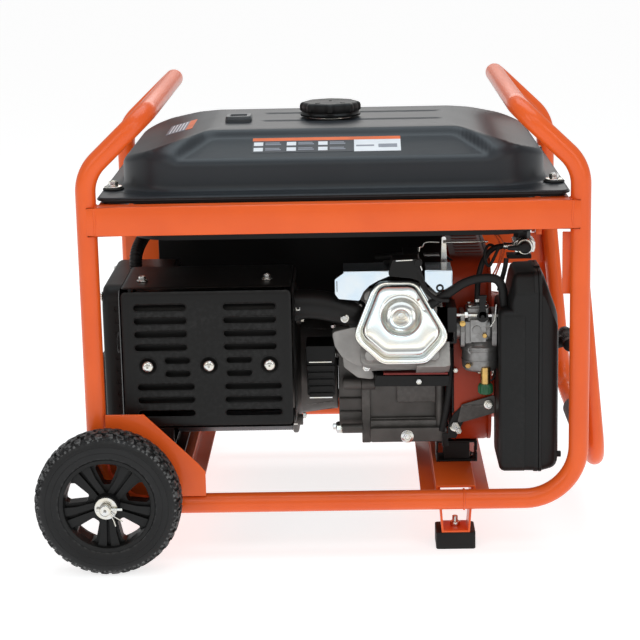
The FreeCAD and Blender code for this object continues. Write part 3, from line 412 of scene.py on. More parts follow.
def finish(name, slot, colour, rough, metal=0.0, second=None, grain=0.6, cloud=45, bump=0.05, vary=0.08,
           edge_wear_and_highlight=0.0, worn_and_highlight_colour=(0.30, 0.30, 0.31, 1), dust=0.05, coat=0.0, coat_rough=0.08, lines=None,
           specular=0.5):
    """A procedural finish: base colour that clouds, grain in bump and roughness, edge wear (on the tyre
    partly a painted highlight) and dust.
    """
    material = bpy.data.materials.new(name)
    material.use_nodes = True
    tree = material.node_tree
    shader = tree.nodes["Principled BSDF"]
    surface = node(tree, "ShaderNodeGroup", node_tree=GRAIN)
    surface.inputs["Grain size"].default_value = grain
    surface.inputs["Cloud size"].default_value = cloud
    # Convex edges take the worn colour: wear, and on the tyre partly a painted highlight.
    worn_and_highlight_edge = node(tree, "ShaderNodeGroup", [("Amount", edge_wear_and_highlight)], node_tree=EDGE_WEAR_AND_HIGHLIGHT).outputs["Mask"]
    film = node(tree, "ShaderNodeGroup", [("Amount", dust)], node_tree=DUST).outputs["Mask"]
    other = second or tuple(channel * 0.82 for channel in colour)
    cloud_mask = ramp(tree, surface.outputs["Cloud"], 0.3, 0.7)
    base = node(tree, "ShaderNodeMix", [("Factor", cloud_mask)], data_type="RGBA")
    worn_and_highlight_base = node(tree, "ShaderNodeMix", [("Factor", worn_and_highlight_edge)], data_type="RGBA")
    dusty = node(tree, "ShaderNodeMix", [("Factor", film)], data_type="RGBA")
    tree.links.new(base.outputs[2], worn_and_highlight_base.inputs[6])
    worn_and_highlight_base.inputs[7].default_value = worn_and_highlight_colour
    tree.links.new(worn_and_highlight_base.outputs[2], dusty.inputs[6])
    dusty.inputs[7].default_value = DUST_COLOUR
    base.inputs[6].default_value = (*colour, 1)
    base.inputs[7].default_value = (*other, 1)
    tree.links.new(dusty.outputs[2], shader.inputs["Base Color"])
    height = surface.outputs["Grain"]
    if lines:
        height = node(tree, "ShaderNodeGroup", [("Stretch", lines)], node_tree=SCRATCH).outputs["Lines"]
    spread = maths(tree, "MULTIPLY_ADD", maths(tree, "ADD", surface.outputs["Cloud"], height), vary,
                   rough - vary)
    dulled = maths(tree, "MULTIPLY_ADD", film, 0.4, spread, clamp=True)
    tree.links.new(dulled, shader.inputs["Roughness"])
    relief = node(tree, "ShaderNodeBump", [("Height", height), ("Strength", 1.0), ("Distance", bump * MM)])
    tree.links.new(relief.outputs[0], shader.inputs["Normal"])
    shader.inputs["Metallic"].default_value = metal
    shader.inputs["Specular IOR Level"].default_value = specular
    shader.inputs["Coat Weight"].default_value = coat
    shader.inputs["Coat Roughness"].default_value = coat_rough
    return material


ORANGE = finish("frame orange", "frame_orange", (0.82, 0.115, 0.013), 0.36, second=(0.76, 0.100, 0.011),
                grain=1.6,
                cloud=90, bump=0.012, vary=0.05, edge_wear_and_highlight=0.10, worn_and_highlight_colour=(0.55, 0.20, 0.10, 1), dust=0.02,
                coat=0.25, coat_rough=0.12, specular=0.3)
# Red-orange paint of the shroud, ribs and recoil cover, darkened far below the frame orange: partly its own
# colour, partly painted shade for the shadow it sits in.
SHROUD_RED_SHADED = finish("shroud red orange darkened for shade", "shroud_red", (0.42, 0.036, 0.006), 0.40, grain=1.4, cloud=60,
                    bump=0.02,
                    edge_wear_and_highlight=0.12, worn_and_highlight_colour=(0.4, 0.12, 0.06, 1), coat=0.15, coat_rough=0.2, specular=0.25)
SLATE = finish("tank slate", "tank_slate", (0.020, 0.024, 0.029), 0.40, second=(0.017, 0.020, 0.025),
               grain=0.9,
               cloud=120, bump=0.018, vary=0.05, edge_wear_and_highlight=0.05, worn_and_highlight_colour=(0.07, 0.07, 0.08, 1), dust=0.008,
               specular=0.36)
BLACK_PAINT = finish("black paint", "black_paint", (0.0055, 0.0052, 0.0050), 0.42, grain=0.8, cloud=60,
                     bump=0.02,
                     edge_wear_and_highlight=0.25, worn_and_highlight_colour=(0.05, 0.05, 0.05, 1), dust=0.01, specular=0.24)
BLACK_PLASTIC = finish("black plastic", "black_plastic", (0.0065, 0.0065, 0.0066), 0.45, grain=0.5,
                       cloud=50,
                       bump=0.03, edge_wear_and_highlight=0.2, worn_and_highlight_colour=(0.04, 0.04, 0.04, 1), dust=0.01, specular=0.26)
RUBBER = finish("black rubber", "rubber", (0.006, 0.006, 0.006), 0.58, grain=0.9, cloud=30, bump=0.05,
                dust=0.03, specular=0.3)
# The grey on the tread-block edges is partly wear, partly a painted highlight.
TYRE_WITH_EDGE_HIGHLIGHT = finish("tyre rubber with painted edge highlight", "tyre", (0.007, 0.007, 0.0075), 0.50, grain=1.2, cloud=25, bump=0.06,
              vary=0.12,
              edge_wear_and_highlight=0.8, worn_and_highlight_colour=(0.13, 0.13, 0.13, 1), dust=0.03, specular=0.32)
GRIP = finish("grip foam", "grip_grey", (0.055, 0.057, 0.060), 0.78, grain=1.1, cloud=20, bump=0.15,
              dust=0.1)
ZINC = finish("bright zinc", "zinc", (0.70, 0.71, 0.72), 0.24, metal=1.0, second=(0.72, 0.68, 0.58),
              grain=0.8,
              cloud=9, bump=0.01, vary=0.10, dust=0.0)
CHROME = finish("bright cover", "chrome_cover", (0.78, 0.83, 0.84), 0.20, metal=1.0,
                second=(0.82, 0.80, 0.74),
                grain=1.4, cloud=50, bump=0.012, vary=0.05, dust=0.0)
# A bluer, darker copy of the bright cover metal: the blue tint is a painted reflection.
DEFLECTOR_BLUE_REFLECTION = finish("deflector with painted blue reflection", "chrome_cover", (0.60, 0.71, 0.80), 0.20, metal=1.0,
                   second=(0.70, 0.76, 0.80),
                   grain=1.4, cloud=26, bump=0.012, vary=0.07, dust=0.0)
CAST = finish("cast aluminium", "cast_aluminium", (0.092, 0.085, 0.080), 0.48, metal=0.55,
              second=(0.066, 0.061, 0.057), grain=1.1, cloud=30, bump=0.10, vary=0.14, edge_wear_and_highlight=0.5,
              worn_and_highlight_colour=(0.33, 0.31, 0.29, 1), dust=0.05)
PALE_CAST = finish("pale cast aluminium", "cast_aluminium", (0.34, 0.325, 0.31), 0.46, metal=0.55,
                   second=(0.27, 0.26, 0.25), grain=0.9, cloud=22, bump=0.09, vary=0.14, edge_wear_and_highlight=0.4,
                   worn_and_highlight_colour=(0.6, 0.58, 0.56, 1), dust=0.04)
CARB_METAL = finish("carburettor casting", "cast_aluminium", (0.27, 0.265, 0.26), 0.40, metal=0.8,
                    second=(0.20, 0.195, 0.19), grain=0.6, cloud=12, bump=0.05, vary=0.12, edge_wear_and_highlight=0.5,
                    worn_and_highlight_colour=(0.6, 0.6, 0.6, 1))
STEEL = finish("machined steel", "steel", (0.40, 0.40, 0.40), 0.30, metal=1.0, grain=0.6, cloud=14,
               lines=(900.0, 60.0, 60.0), bump=0.01, vary=0.12)
BRASS = finish("brass", "zinc", (0.62, 0.40, 0.13), 0.28, metal=1.0, second=(0.50, 0.32, 0.12), grain=0.6,
               cloud=8,
               bump=0.01, vary=0.12)
GREEN_CAP = finish("green cap", "black_plastic", (0.006, 0.085, 0.030), 0.35, grain=0.6, cloud=14,
                   bump=0.01)
GASKET_RED = finish("red gasket", "gasket_red", (0.22, 0.022, 0.018), 0.7, grain=0.5, cloud=6, bump=0.05)
FOAM = finish("oiled foam", "filter_foam", (0.30, 0.31, 0.20), 0.9, grain=1.6, cloud=12, bump=0.4)
COPPER = finish("lacquered copper", "copper", (0.42, 0.17, 0.07), 0.35, metal=0.9, grain=0.7, cloud=10,
                lines=(80.0, 1400.0, 1400.0), bump=0.08)
LAMINATION = finish("lamination stack", "copper", (0.10, 0.10, 0.11), 0.45, metal=0.8, grain=0.6, cloud=20,
                    lines=(2600.0, 20.0, 20.0), bump=0.08)
SIGNAL_RED = finish("signal red", "signal_red", (0.50, 0.012, 0.012), 0.32, grain=0.6, cloud=18, bump=0.01)
WIRE_ORANGE = finish("orange wire", "rubber", (0.80, 0.12, 0.03), 0.45, grain=0.6, cloud=9, bump=0.01)
LABEL_WHITE = finish("label white", "tank_slate", (0.78, 0.79, 0.82), 0.42, second=(0.72, 0.73, 0.76),
                     grain=0.8,
                     cloud=30, bump=0.005, dust=0.02)
LABEL_DARK = finish("label dark", "tank_slate", (0.035, 0.037, 0.045), 0.40, grain=0.8, cloud=30,
                    bump=0.005)
LABEL_GREY = finish("label grey", "tank_slate", (0.26, 0.27, 0.31), 0.42, grain=0.8, cloud=30, bump=0.005)
LABEL_ORANGE = finish("label orange", "tank_slate", (0.82, 0.15, 0.03), 0.42, grain=0.8, cloud=30,
                      bump=0.005)
GLASS_BLACK = finish("gauge window", "black_plastic", (0.006, 0.006, 0.007), 0.10, grain=0.6, cloud=18,
                     bump=0.002)
BEZEL = finish("grey bezel", "black_plastic", (0.060, 0.066, 0.072), 0.38, grain=0.6, cloud=18, bump=0.01)


# ------------------------------------------------------------------ tube frame

def bent_line(points, radii, steps=12):
    """Straight runs joined by tangent arcs, as points for a tube."""
    line = [Vector(points[0])]
    for k in range(1, len(points) - 1):
        here = Vector(points[k])
        back = (Vector(points[k - 1]) - here).normalized()
        ahead = (Vector(points[k + 1]) - here).normalized()
        half = back.angle(ahead) / 2
        radius = radii[k - 1]
        centre = here + (back + ahead).normalized() * (radius / math.sin(half))
        first = here + back * (radius / math.tan(half)) - centre
        last = here + ahead * (radius / math.tan(half)) - centre
        sweep = first.angle(last)
        for step in range(steps + 1):
            share = step / steps
            line.append(centre + (first * math.sin((1 - share) * sweep) + last * math.sin(share * sweep))
                        / math.sin(sweep))
    return line + [Vector(points[-1])]


def weld(piece, points, width=2.2, closed=False, seed=1):
    """A weld bead: a row of overlapping lens-shaped ripples along a line."""
    rng = random.Random(seed)
    line = [Vector(point) for point in points]
    rings = []
    for a, b in zip(line, line[1:] + (line[:1] if closed else [])):
        count = max(2, int((b - a).length / 1.3))
        for step in range(count):
            rings.append(a.lerp(b, step / count))
    total = len(rings)
    start = piece.size()
    piece.tube(rings, width, 10, closed)
    piece.mesh.verts.ensure_lookup_table()
    for ring in range(total):
        swell = 0.82 + 0.25 * abs(math.sin(ring * 1.15)) + rng.uniform(-0.05, 0.05)
        for k in range(10):
            vert = piece.mesh.verts[start + ring * 10 + k]
            vert.co = rings[ring] + (vert.co - rings[ring]) * swell
    return piece


def tube_frame():
    bends = [75, 60, 42]
    for side, label in ((-1, "left"), (1, "right")):
        route = [(176 + 0.2 * side, 0, 80.5), (side * POST_X, 0, 80.5), (side * POST_X, 0, 550),
                 (side * 252, 0, 630)]
        route += [(x, DEPTH, z) for x, _, z in route[::-1]]
        hoop = Piece().tube(bent_line(route, bends + bends[::-1], 14), TUBE_RADIUS - 0.02, 40)
        hoop.build(f"hoop_{label}_tube", ORANGE, replaces=[f"hoop_{label}"], bevel=0.4, smooth=60)
    beads = Piece()
    ring = [(176, TUBE_RADIUS * math.cos(a), 80.5 + TUBE_RADIUS * math.sin(a))
            for a in [2 * math.pi * k / 24 for k in range(24)]]
    weld(beads, ring, 1.6, True)
    for side in (-1, 1):
        edge = side * (POST_X - 11.5)
        weld(beads, [(edge, -13, 505), (edge - side * 1.5, -13.6, 486), (edge, -13, 467)], 1.8, seed=3)
        weld(beads, [(side * 322.5, -9, 505.5), (side * 322.5, 9, 505.5)], 1.8, seed=4)
    for x in (-246, 165.5):
        for edge in (-49, 49):
            weld(beads, [(x + edge, 13.6, 77), (x + edge, 13.8, 96 if abs(edge) < 40 else 83)], 1.6, seed=5)
    beads.mirrored()
    beads.build("weld_beads", ORANGE, bevel=0, smooth=60)
    tabs = Piece()
    tabs.slab(rounded_polygon([(-330, 316), (-279, 316), (-279, 364), (-286, 371), (-294, 378), (-298, 388),
                               (-298, 455),
                               (-330, 455)], 4), (480.2, 483.2))
    tabs.block((-342, -329), (480.2, 491), (316, 455))
    tabs.slab(rounded_outline((150, 320), (327, 369.5), 3), (480.2, 483.2))
    tabs.block((318, 327), (481, 488), (320, 369.5))
    tabs.block((318, 342), (485, 490), (320, 369.5))
    tabs.build("panel_tabs", ORANGE, bevel=0.5)
    screws = Piece()
    screws.bolt((-291, 480.2, 330), (0, -1, 0), 8, washer=7)
    screws.bolt((160, 483.2, 345), (0, 1, 0), 8, washer=7)
    screws.build("panel_tab_screws", ZINC, bevel=0.2)
    for name in ("top_rails", "end_rails", "cross_members", "wheel_gussets", "foot_brackets",
                 "handle_brackets"):
        refined(name, ORANGE, 1.6 if name in ("top_rails", "end_rails") else 0.8, 3)


# ------------------------------------------------------------------ tank

def soft_line(points, at_value, reach=4):
    """Height of a profile at a place, with its corners rounded by averaging."""
    total = 0
    for k in range(-3, 4):
        where = at_value + k * reach / 3
        for (x0, z0), (x1, z1) in zip(points, points[1:]):
            if where <= x1:
                break
        share = (where - x0) / (x1 - x0)
        total += z0 + (z1 - z0) * max(0.0, min(1.0, share)) if where < points[-1][0] else points[-1][1]
    return total / 7


def smooth_step(value, low, high):
    share = max(0.0, min(1.0, (value - low) / (high - low)))
    return share * share * (3 - 2 * share)


TANK_X, TANK_Y, TANK_CORNER, TANK_TOP = 297, 52, 75, 592
END_SLOPE = [(0, 592), (168, 592), (205, 584.5), (250, 572.5), (276, 565), (297, 556), (330, 536)]
FRONT_SLOPE = [(40, 548), (52, 561), (64, 571), (92, 583), (134, 591), (150, 592), (260, 592)]


def tank_height(x, y):
    """Crown of the tank: end slopes, proud shoulders, sloped front panel with its ridge, and grooves."""
    across = abs(x)
    near = min(y, DEPTH - y)
    proud = min(soft_line(END_SLOPE, across, 9), soft_line(FRONT_SLOPE, near, 8))
    panel = 557.5 + (near - 54) * 0.335
    half_width = 221 - (near - 54) * 0.66
    from_side = (across - half_width) * 0.83
    from_ridge = near - 123
    gap = max(from_side, from_ridge)
    blend = 12
    if abs(from_side - from_ridge) < blend:
        gap += (blend - abs(from_side - from_ridge)) ** 2 / (4 * blend)
    inside = 1 - smooth_step(gap, -5, 6)
    height = proud - inside * max(0.0, proud - panel)
    for groove_y in (208, 296):
        across_groove = 1 - smooth_step(abs(y - groove_y), 4, 11)
        along = smooth_step(x, -108, -96) * (1 - smooth_step(x, 150, 166))
        height -= 2.0 * across_groove * along
    return height


def tank():
    """Upper half of the tank: pressed flange, upright wall with a rolled shoulder, crowned top."""
    roll, inner_step, per_side = 9.0, 2.6, 15
    half_x, half_y = TANK_X, DEPTH / 2 - TANK_Y

    def ring(inset, height):
        radius = max(TANK_CORNER - inset, 2.0)
        points = []
        corners = ((1, -1, -90), (1, 1, 0), (-1, 1, 90), (-1, -1, 180))
        for side_x, side_y, first in corners:
            centre = (side_x * (half_x - inset - radius), DEPTH / 2 + side_y * (half_y - inset - radius))
            points += arc(centre, radius, first, first + 90, per_side)
        spread = []
        for k, point in enumerate(points):
            after = points[(k + 1) % len(points)]
            spread.append(point)
            if (k + 1) % (per_side + 1) == 0:
                pieces = 90 if abs(after[0] - point[0]) > abs(after[1] - point[1]) else 50
                spread += [(point[0] + (after[0] - point[0]) * m / pieces,
                            point[1] + (after[1] - point[1]) * m / pieces)
                           for m in range(1, pieces)]
        return [(x, y, height(x, y)) for x, y in spread]

    rings = []
    for inset, level in ((-24, 514.9), (-12, 515.0), (-6, 515.4), (-2.5, 517.2), (-0.6, 520.4), (0, 525),
                         (0, 535), (0, 545)):
        rings.append(ring(inset, lambda x, y, level=level: level))
    rings.append(ring(0, lambda x, y: tank_height(x, y) - roll - 1.5))
    for angle in range(12, 91, 13):
        inset = roll * (1 - math.cos(math.radians(angle)))
        drop = roll * (1 - math.sin(math.radians(angle)))
        rings.append(ring(inset, lambda x, y, drop=drop: tank_height(x, y) - drop))
    inset = roll + 2
    while inset < half_y - 3:
        rings.append(ring(inset, tank_height))
        inset += inner_step
    upper = Piece()
    upper.add(rings, capped=False)
    rows = upper.mesh.verts[:]
    last = rows[-len(rings[0]):]
    upper.mesh.faces.new(last)
    bmesh.ops.triangulate(upper.mesh, faces=upper.mesh.faces[-1:])
    lip = [(x, y) for x, y in rounded_outline((-321, 12), (321, 488), 12)]
    plate = [[(x, y, z) for x, y in lip] for z in (513.0, 514.6)]
    upper.add(plate)
    outer, low = rounded_outline((-322.5, 10.5), (322.5, 489.5), 13), 510.6
    inner = rounded_outline((-320.5, 12.5), (320.5, 487.5), 11)
    upper.add([[(x, y, low) for x, y in outer], [(x, y, 513.2) for x, y in outer],
               [(x, y, 515.0) for x, y in inner], [(x, y, 513.0) for x, y in inner],
               [(x, y, low) for x, y in inner]], joined=True)
    upper.build("tank_shell_upper", SLATE, replaces=["tank_upper"], bevel=0, smooth=50)
    refined("tank_lower", BLACK_PAINT, 0)
    trim = Piece()
    trim.add([[(x, y, z) for x, y in rounded_outline((-e, 250 - f), (e, 250 + f), 12)]
              for z, e, f in ((506.4, 318, 236), (510.4, 318, 236), (510.4, 312, 230), (506.4, 312, 230))],
             joined=True)
    trim.build("tank_flange_rubber", RUBBER, bevel=0.6)


def cap_and_gauge():
    cap = Piece()
    rings = []
    for z, radius, lobe in ((594.8, 41, 0), (595, 43.5, 0), (598, 44.6, 0.2), (599.5, 42.2, 0.6),
                            (601, 42.0, 1.0),
                            (603, 44.6, 2.6), (609, 44.8, 3.0), (612.5, 43.6, 2.8), (614.2, 41.2, 2.4),
                            (614.9, 37.5, 1.6), (614.2, 33, 0.7), (613.4, 28, 0), (613.2, 12, 0),
                            (613.2, 0.4, 0)):
        ring = []
        for k in range(192):
            angle = 2 * math.pi * k / 192
            scallop = max(0.0, math.cos(angle * 8)) ** 1.5
            r = radius - lobe * (1 - scallop) * 1.1
            ring.append((-4 + r * math.cos(angle), 242 + r * math.sin(angle), z))
        rings.append(ring)
    cap.add(rings)
    for k in range(3):
        start = cap.size()
        cap.slab(rounded_outline((-2.2, 17), (2.2, 25), 2.1), (613.0, 613.9), "xy")
        cap.move(Matrix.Translation((-4, 242, 0)) @ Matrix.Rotation(math.radians(120 * k), 4, "Z"), start)
    cap.build("fuel_cap_lobed", BLACK_PLASTIC, "fuel_cap", ["fuel_cap"], bevel=0, smooth=40)
    refined("filler_neck", ZINC, 0.3)
    refined("cap_seal", RUBBER, 0.3)
    base = Piece()
    base.slab(rounded_outline((-156, 196), (-118, 234), 4.5), (590.5, 597), "xy")
    base.add([[(x, y, z) for x, y in rounded_outline((-137 - e, 215 - e), (-137 + e, 215 + e), 4)]
              for z, e in ((597, 18.6), (600.4, 17.6), (600.4, 12), (598, 11.4), (597, 11.4))], joined=True)
    base.build("gauge_bezel", BEZEL, replaces=["fuel_gauge"], bevel=0.7, segments=3)
    window = Piece().slab(rounded_outline((-149, 203), (-125, 227), 2), (597, 598.6), "xy")
    window.slab(rounded_outline((-143, 211), (-131, 219), 1), (598.6, 598.9), "xy")
    window.build("gauge_window", GLASS_BLACK, bevel=0.2)


def sticker(name, corners, finish_used, lift=0.35):
    """A thin label that lies on the tank, given by its low corner and high corner in plan."""
    (x0, y0), (x1, y1) = corners
    columns, rows = max(2, int((x1 - x0) / 8)), max(2, int((y1 - y0) / 6))
    label = Piece()

    def point(i, j, up):
        x, y = x0 + (x1 - x0) * i / columns, y0 + (y1 - y0) * j / rows
        return (x, y, tank_height(x, y) + up)
    grid = {}
    for up in (lift, 0.02):
        for i in range(columns + 1):
            for j in range(rows + 1):
                grid[i, j, up] = label.mesh.verts.new(point(i, j, up))
    for i in range(columns):
        for j in range(rows):
            for up in (lift, 0.02):
                label.mesh.faces.new([grid[a, b, up] for a,
                                      b in ((i, j), (i + 1, j), (i + 1, j + 1), (i, j + 1))])
    rim = [(i, 0) for i in range(columns)] + [(columns, j) for j in range(rows)]
    rim += [(i, rows) for i in range(columns, 0, -1)] + [(0, j) for j in range(rows, 0, -1)]
    for a, b in zip(rim, rim[1:] + rim[:1]):
        label.mesh.faces.new((grid[a + (0.02,)], grid[b + (0.02,)], grid[b + (lift,)], grid[a + (lift,)]))
    return label.build(name, finish_used, bevel=0, smooth=50)


def stickers():
    """Generic label blocks: coloured bands and plain bars stand where text and signs would be."""
    sticker("front_label_dark", ((-112, 74), (30, 108)), LABEL_DARK)
    sticker("front_label_band", ((-112, 108), (95, 117)), LABEL_ORANGE)
    sticker("front_label_white", ((30, 74), (95, 108)), LABEL_WHITE)
    for column, x in enumerate((-110, -64, -20)):
        for row, y in enumerate((78, 94)):
            sticker(f"label_sign_{column}{row}", ((x, y), (x + 13, y + 10)), LABEL_WHITE, 0.6)
            sticker(f"label_bar_{column}{row}", ((x + 16, y + 2), (x + 38, y + 5)), LABEL_GREY, 0.6)
            sticker(f"label_bar_high_{column}{row}", ((x + 16, y + 6.5), (x + 36, y + 9)), LABEL_GREY, 0.6)
    sticker("label_mark_left", ((33, 88), (58, 92)), LABEL_GREY, 0.6)
    sticker("label_mark_right", ((64, 84), (90, 94)), LABEL_GREY, 0.6)
    sticker("end_label", ((-243, 196), (-214, 300)), LABEL_GREY)
    sticker("end_label_band", ((-214, 196), (-204, 300)), LABEL_ORANGE)
    for k in range(5):
        sticker(f"end_label_bar_{k}", ((-239 + 5 * k, 204), (-237 + 5 * k, 292)), LABEL_WHITE, 0.6)


def tank_bolts():
    bolts = Piece()
    for side in (-1, 1):
        for y in (85, 415):
            bolts.lathe([(0, 4), (0, 12.4), (1.6, 13), (2.2, 12.6), (3.0, 9.6), (3.0, 4)],
                        (side * 308, y, 517.6), (0, 0, 1),
                        joined=True)
            bolts.bolt((side * 308, y, 519.8), (0, 0, 1), 12)
            bolts.rod((side * 308, y, 523), (side * 308, y, 526), 3)
    bolts.build("tank_bolts", ZINC, bevel=0.25)
    pads = Piece()
    for side in (-1, 1):
        for y in (85, 415):
            pads.lathe([(0, 5), (0, 14.5), (2.0, 15), (3.4, 13.5), (3.4, 5)], (side * 308, y, 514.4),
                       (0, 0, 1),
                       joined=True)
    pads.build("tank_bolt_pads", RUBBER, bevel=0)


# ------------------------------------------------------------------ wheels

def tyre(name, y):
    """Casing with fine sidewall rings, and rows of raised tread blocks."""
    body = Piece()
    half = [(66.5, -22.6), (70, -24.2), (76, -25.5), (77, -25.0), (78, -25.6), (84, -26), (85, -25.4),
            (86, -25.9),
            (91, -25.2), (95.6, -21.5), (97.4, -17), (98.0, -8)]
    profile = [(w, r) for r, w in half] + [(-w, r) for r, w in half[::-1]]
    body.lathe(profile, (WHEEL[0], y, WHEEL[2]), (0, 1, 0), 128, joined=True)
    blocks = 42
    outline = [(-5.2, -3.4), (-1.6, -5.4), (4.0, -5.0), (5.6, -1.4), (5.0, 4.6), (1.4, 5.6), (-4.4, 4.2)]
    notch = [(-2.0, -1.6), (1.4, -1.8), (1.8, 1.6), (-1.6, 1.8)]
    for row, across in enumerate((-16.6, -5.6, 5.6, 16.6)):
        for k in range(blocks):
            turn = 2 * math.pi * (k + 0.5 * (row % 2)) / blocks
            flip = -1 if row % 2 else 1
            low = 96.0 if abs(across) < 10 else 94.6
            high = 101.45 if abs(across) < 10 else 100.3

            def wrapped(points, radius, shrink=1.0):
                ring = []
                for a, b in points:
                    angle = turn + flip * a * shrink / 99
                    r = radius - (0.25 * max(0.0, abs(across + b) - 16))
                    ring.append((WHEEL[0] + r * math.cos(angle), y + across + b * shrink,
                                 WHEEL[2] + r * math.sin(angle)))
                return ring
            top = wrapped(outline, high, 0.93)
            dimple = rounded_polygon(notch, 1.0, 1)
            body.add([wrapped(outline, low), wrapped(outline, high - 0.5), top])
            body.add([wrapped(dimple, high), wrapped(dimple, high + 0.02)])
    for k in range(blocks * 2):
        turn = 2 * math.pi * k / (blocks * 2)
        for side in (-1, 1):
            start = body.size()
            body.slab([(-2.6, 0), (2.6, 0), (1.6, 7.5), (-1.6, 7.5)], (-0.8, 1.1), "xz")
            place = (Matrix.Translation((WHEEL[0], y + side * 24.0, WHEEL[2])) @ Matrix.Rotation(-turn, 4,
                                                                                                 "Y")
                     @ Matrix.Translation((0, 0, 88.5)) @ Matrix.Rotation(side * math.radians(14), 4, "X"))
            body.move(place, start)
    body.build(f"tyre_{name}_treaded", TYRE_WITH_EDGE_HIGHLIGHT, f"wheel_{name}", [f"tyre_{name}"], bevel=0, smooth=32)


def rim(name, y, out):
    """Moulded rim: flange, five double-rib spokes on a drum, webbed hub. out is the side that shows."""
    face = Piece()
    centre = (WHEEL[0], y, WHEEL[2])
    face.lathe([(-23, 60.5), (-24, 62), (-24, 66), (-22.8, 67.0), (22.8, 67.0), (24, 66), (24, 62),
                (23, 60.5),
                (8, 57.5), (-8, 57.5)], centre, (0, 1, 0), 96, joined=True)
    face.lathe([(-30, 8.1), (-30, 14.5), (-28.8, 16.2), (-16, 18.5), (16, 18.5), (28.8, 16.2), (30, 14.5),
                (30, 8.1)],
               centre, (0, 1, 0), 64, joined=True)
    face.lathe([(-11, 17), (-11, 58.5), (9, 58.5), (9, 17)], centre, (0, 1, 0), 96, joined=True)
    for k in range(5):
        turn = math.radians(-90 + 72 * k)
        for side in (-1, 1):
            start = face.size()
            points = [(14, side * 5.4 - 3.8), (14, side * 5.4 + 3.8), (40, side * 6.6 + 4.4),
                      (60, side * 9.4 + 6.4),
                      (60, side * 9.4 - 6.4), (40, side * 6.6 - 4.4)]
            face.slab(points, (-18 if out < 0 else -15, 15 if out < 0 else 18), "xz")
            face.move(Matrix.Translation(centre) @ Matrix.Rotation(-turn, 4, "Y"), start)
    windows = Piece()
    for k in range(5):
        start = windows.size()
        windows.slab(rounded_polygon([(28, -5), (51, -15), (57.6, -13), (57.6, 13), (51, 15), (28, 5)], 4),
                     (-13, 13), "xz")
        windows.move(Matrix.Translation(centre) @ Matrix.Rotation(-math.radians(-54 + 72 * k), 4, "Y"),
                     start)
    face.build(f"rim_{name}_spoked", BLACK_PLASTIC, f"wheel_{name}", [f"rim_{name}"], bevel=0, smooth=32,
               carve=windows)


def wheel_hardware():
    fixings = Piece()
    x, y, z = WHEEL
    fixings.lathe([(-33.0, 8.4), (-33.0, 15.2), (-31.0, 15.6), (-30.4, 15.2), (-30.4, 8.4)], (x, y, z),
                  (0, 1, 0), joined=True)
    pin_y = y - 37
    fixings.tube(softened([(x - 2, pin_y, z + 4), (x + 3, pin_y, z - 4), (x + 10, pin_y, z - 13),
                           (x + 13, pin_y, z - 24)]), 0.9, 10)
    fixings.tube(softened([(x - 2, pin_y, z + 4), (x + 4, pin_y - 1, z - 3), (x + 12, pin_y - 1, z - 10),
                           (x + 23, pin_y - 1, z - 17)]), 0.9, 10)
    fixings.mirrored()
    fixings.build("wheel_washers_and_pins", ZINC, bevel=0.15)
    axle = Piece().lathe([(-44, 6.6), (-42.6, 8), (0, 8), (74, 8), (74, 0.4), (-42, 0.4), (-44, 2.4)],
                         WHEEL, (0, 1, 0), 40, joined=True)
    axle.lathe([(30.4, 7.9), (30.4, 12.6), (31, 13), (35.4, 13), (35.8, 12.6), (35.8, 7.9)], WHEEL,
               (0, 1, 0), joined=True)
    axle.lathe([(64, 7.9), (64, 13), (72, 13), (72, 7.9)], WHEEL, (0, 1, 0), joined=True)
    axle.mirrored()
    axle.build("wheel_axle_pins", ZINC, replaces=["wheel_axles"], bevel=0.2)


def wheels():
    for name, y, out in (("front", WHEEL[1], -1), ("rear", DEPTH - WHEEL[1], 1)):
        tyre(name, y)
        rim(name, y, out)
    wheel_hardware()


# ------------------------------------------------------------------ engine block

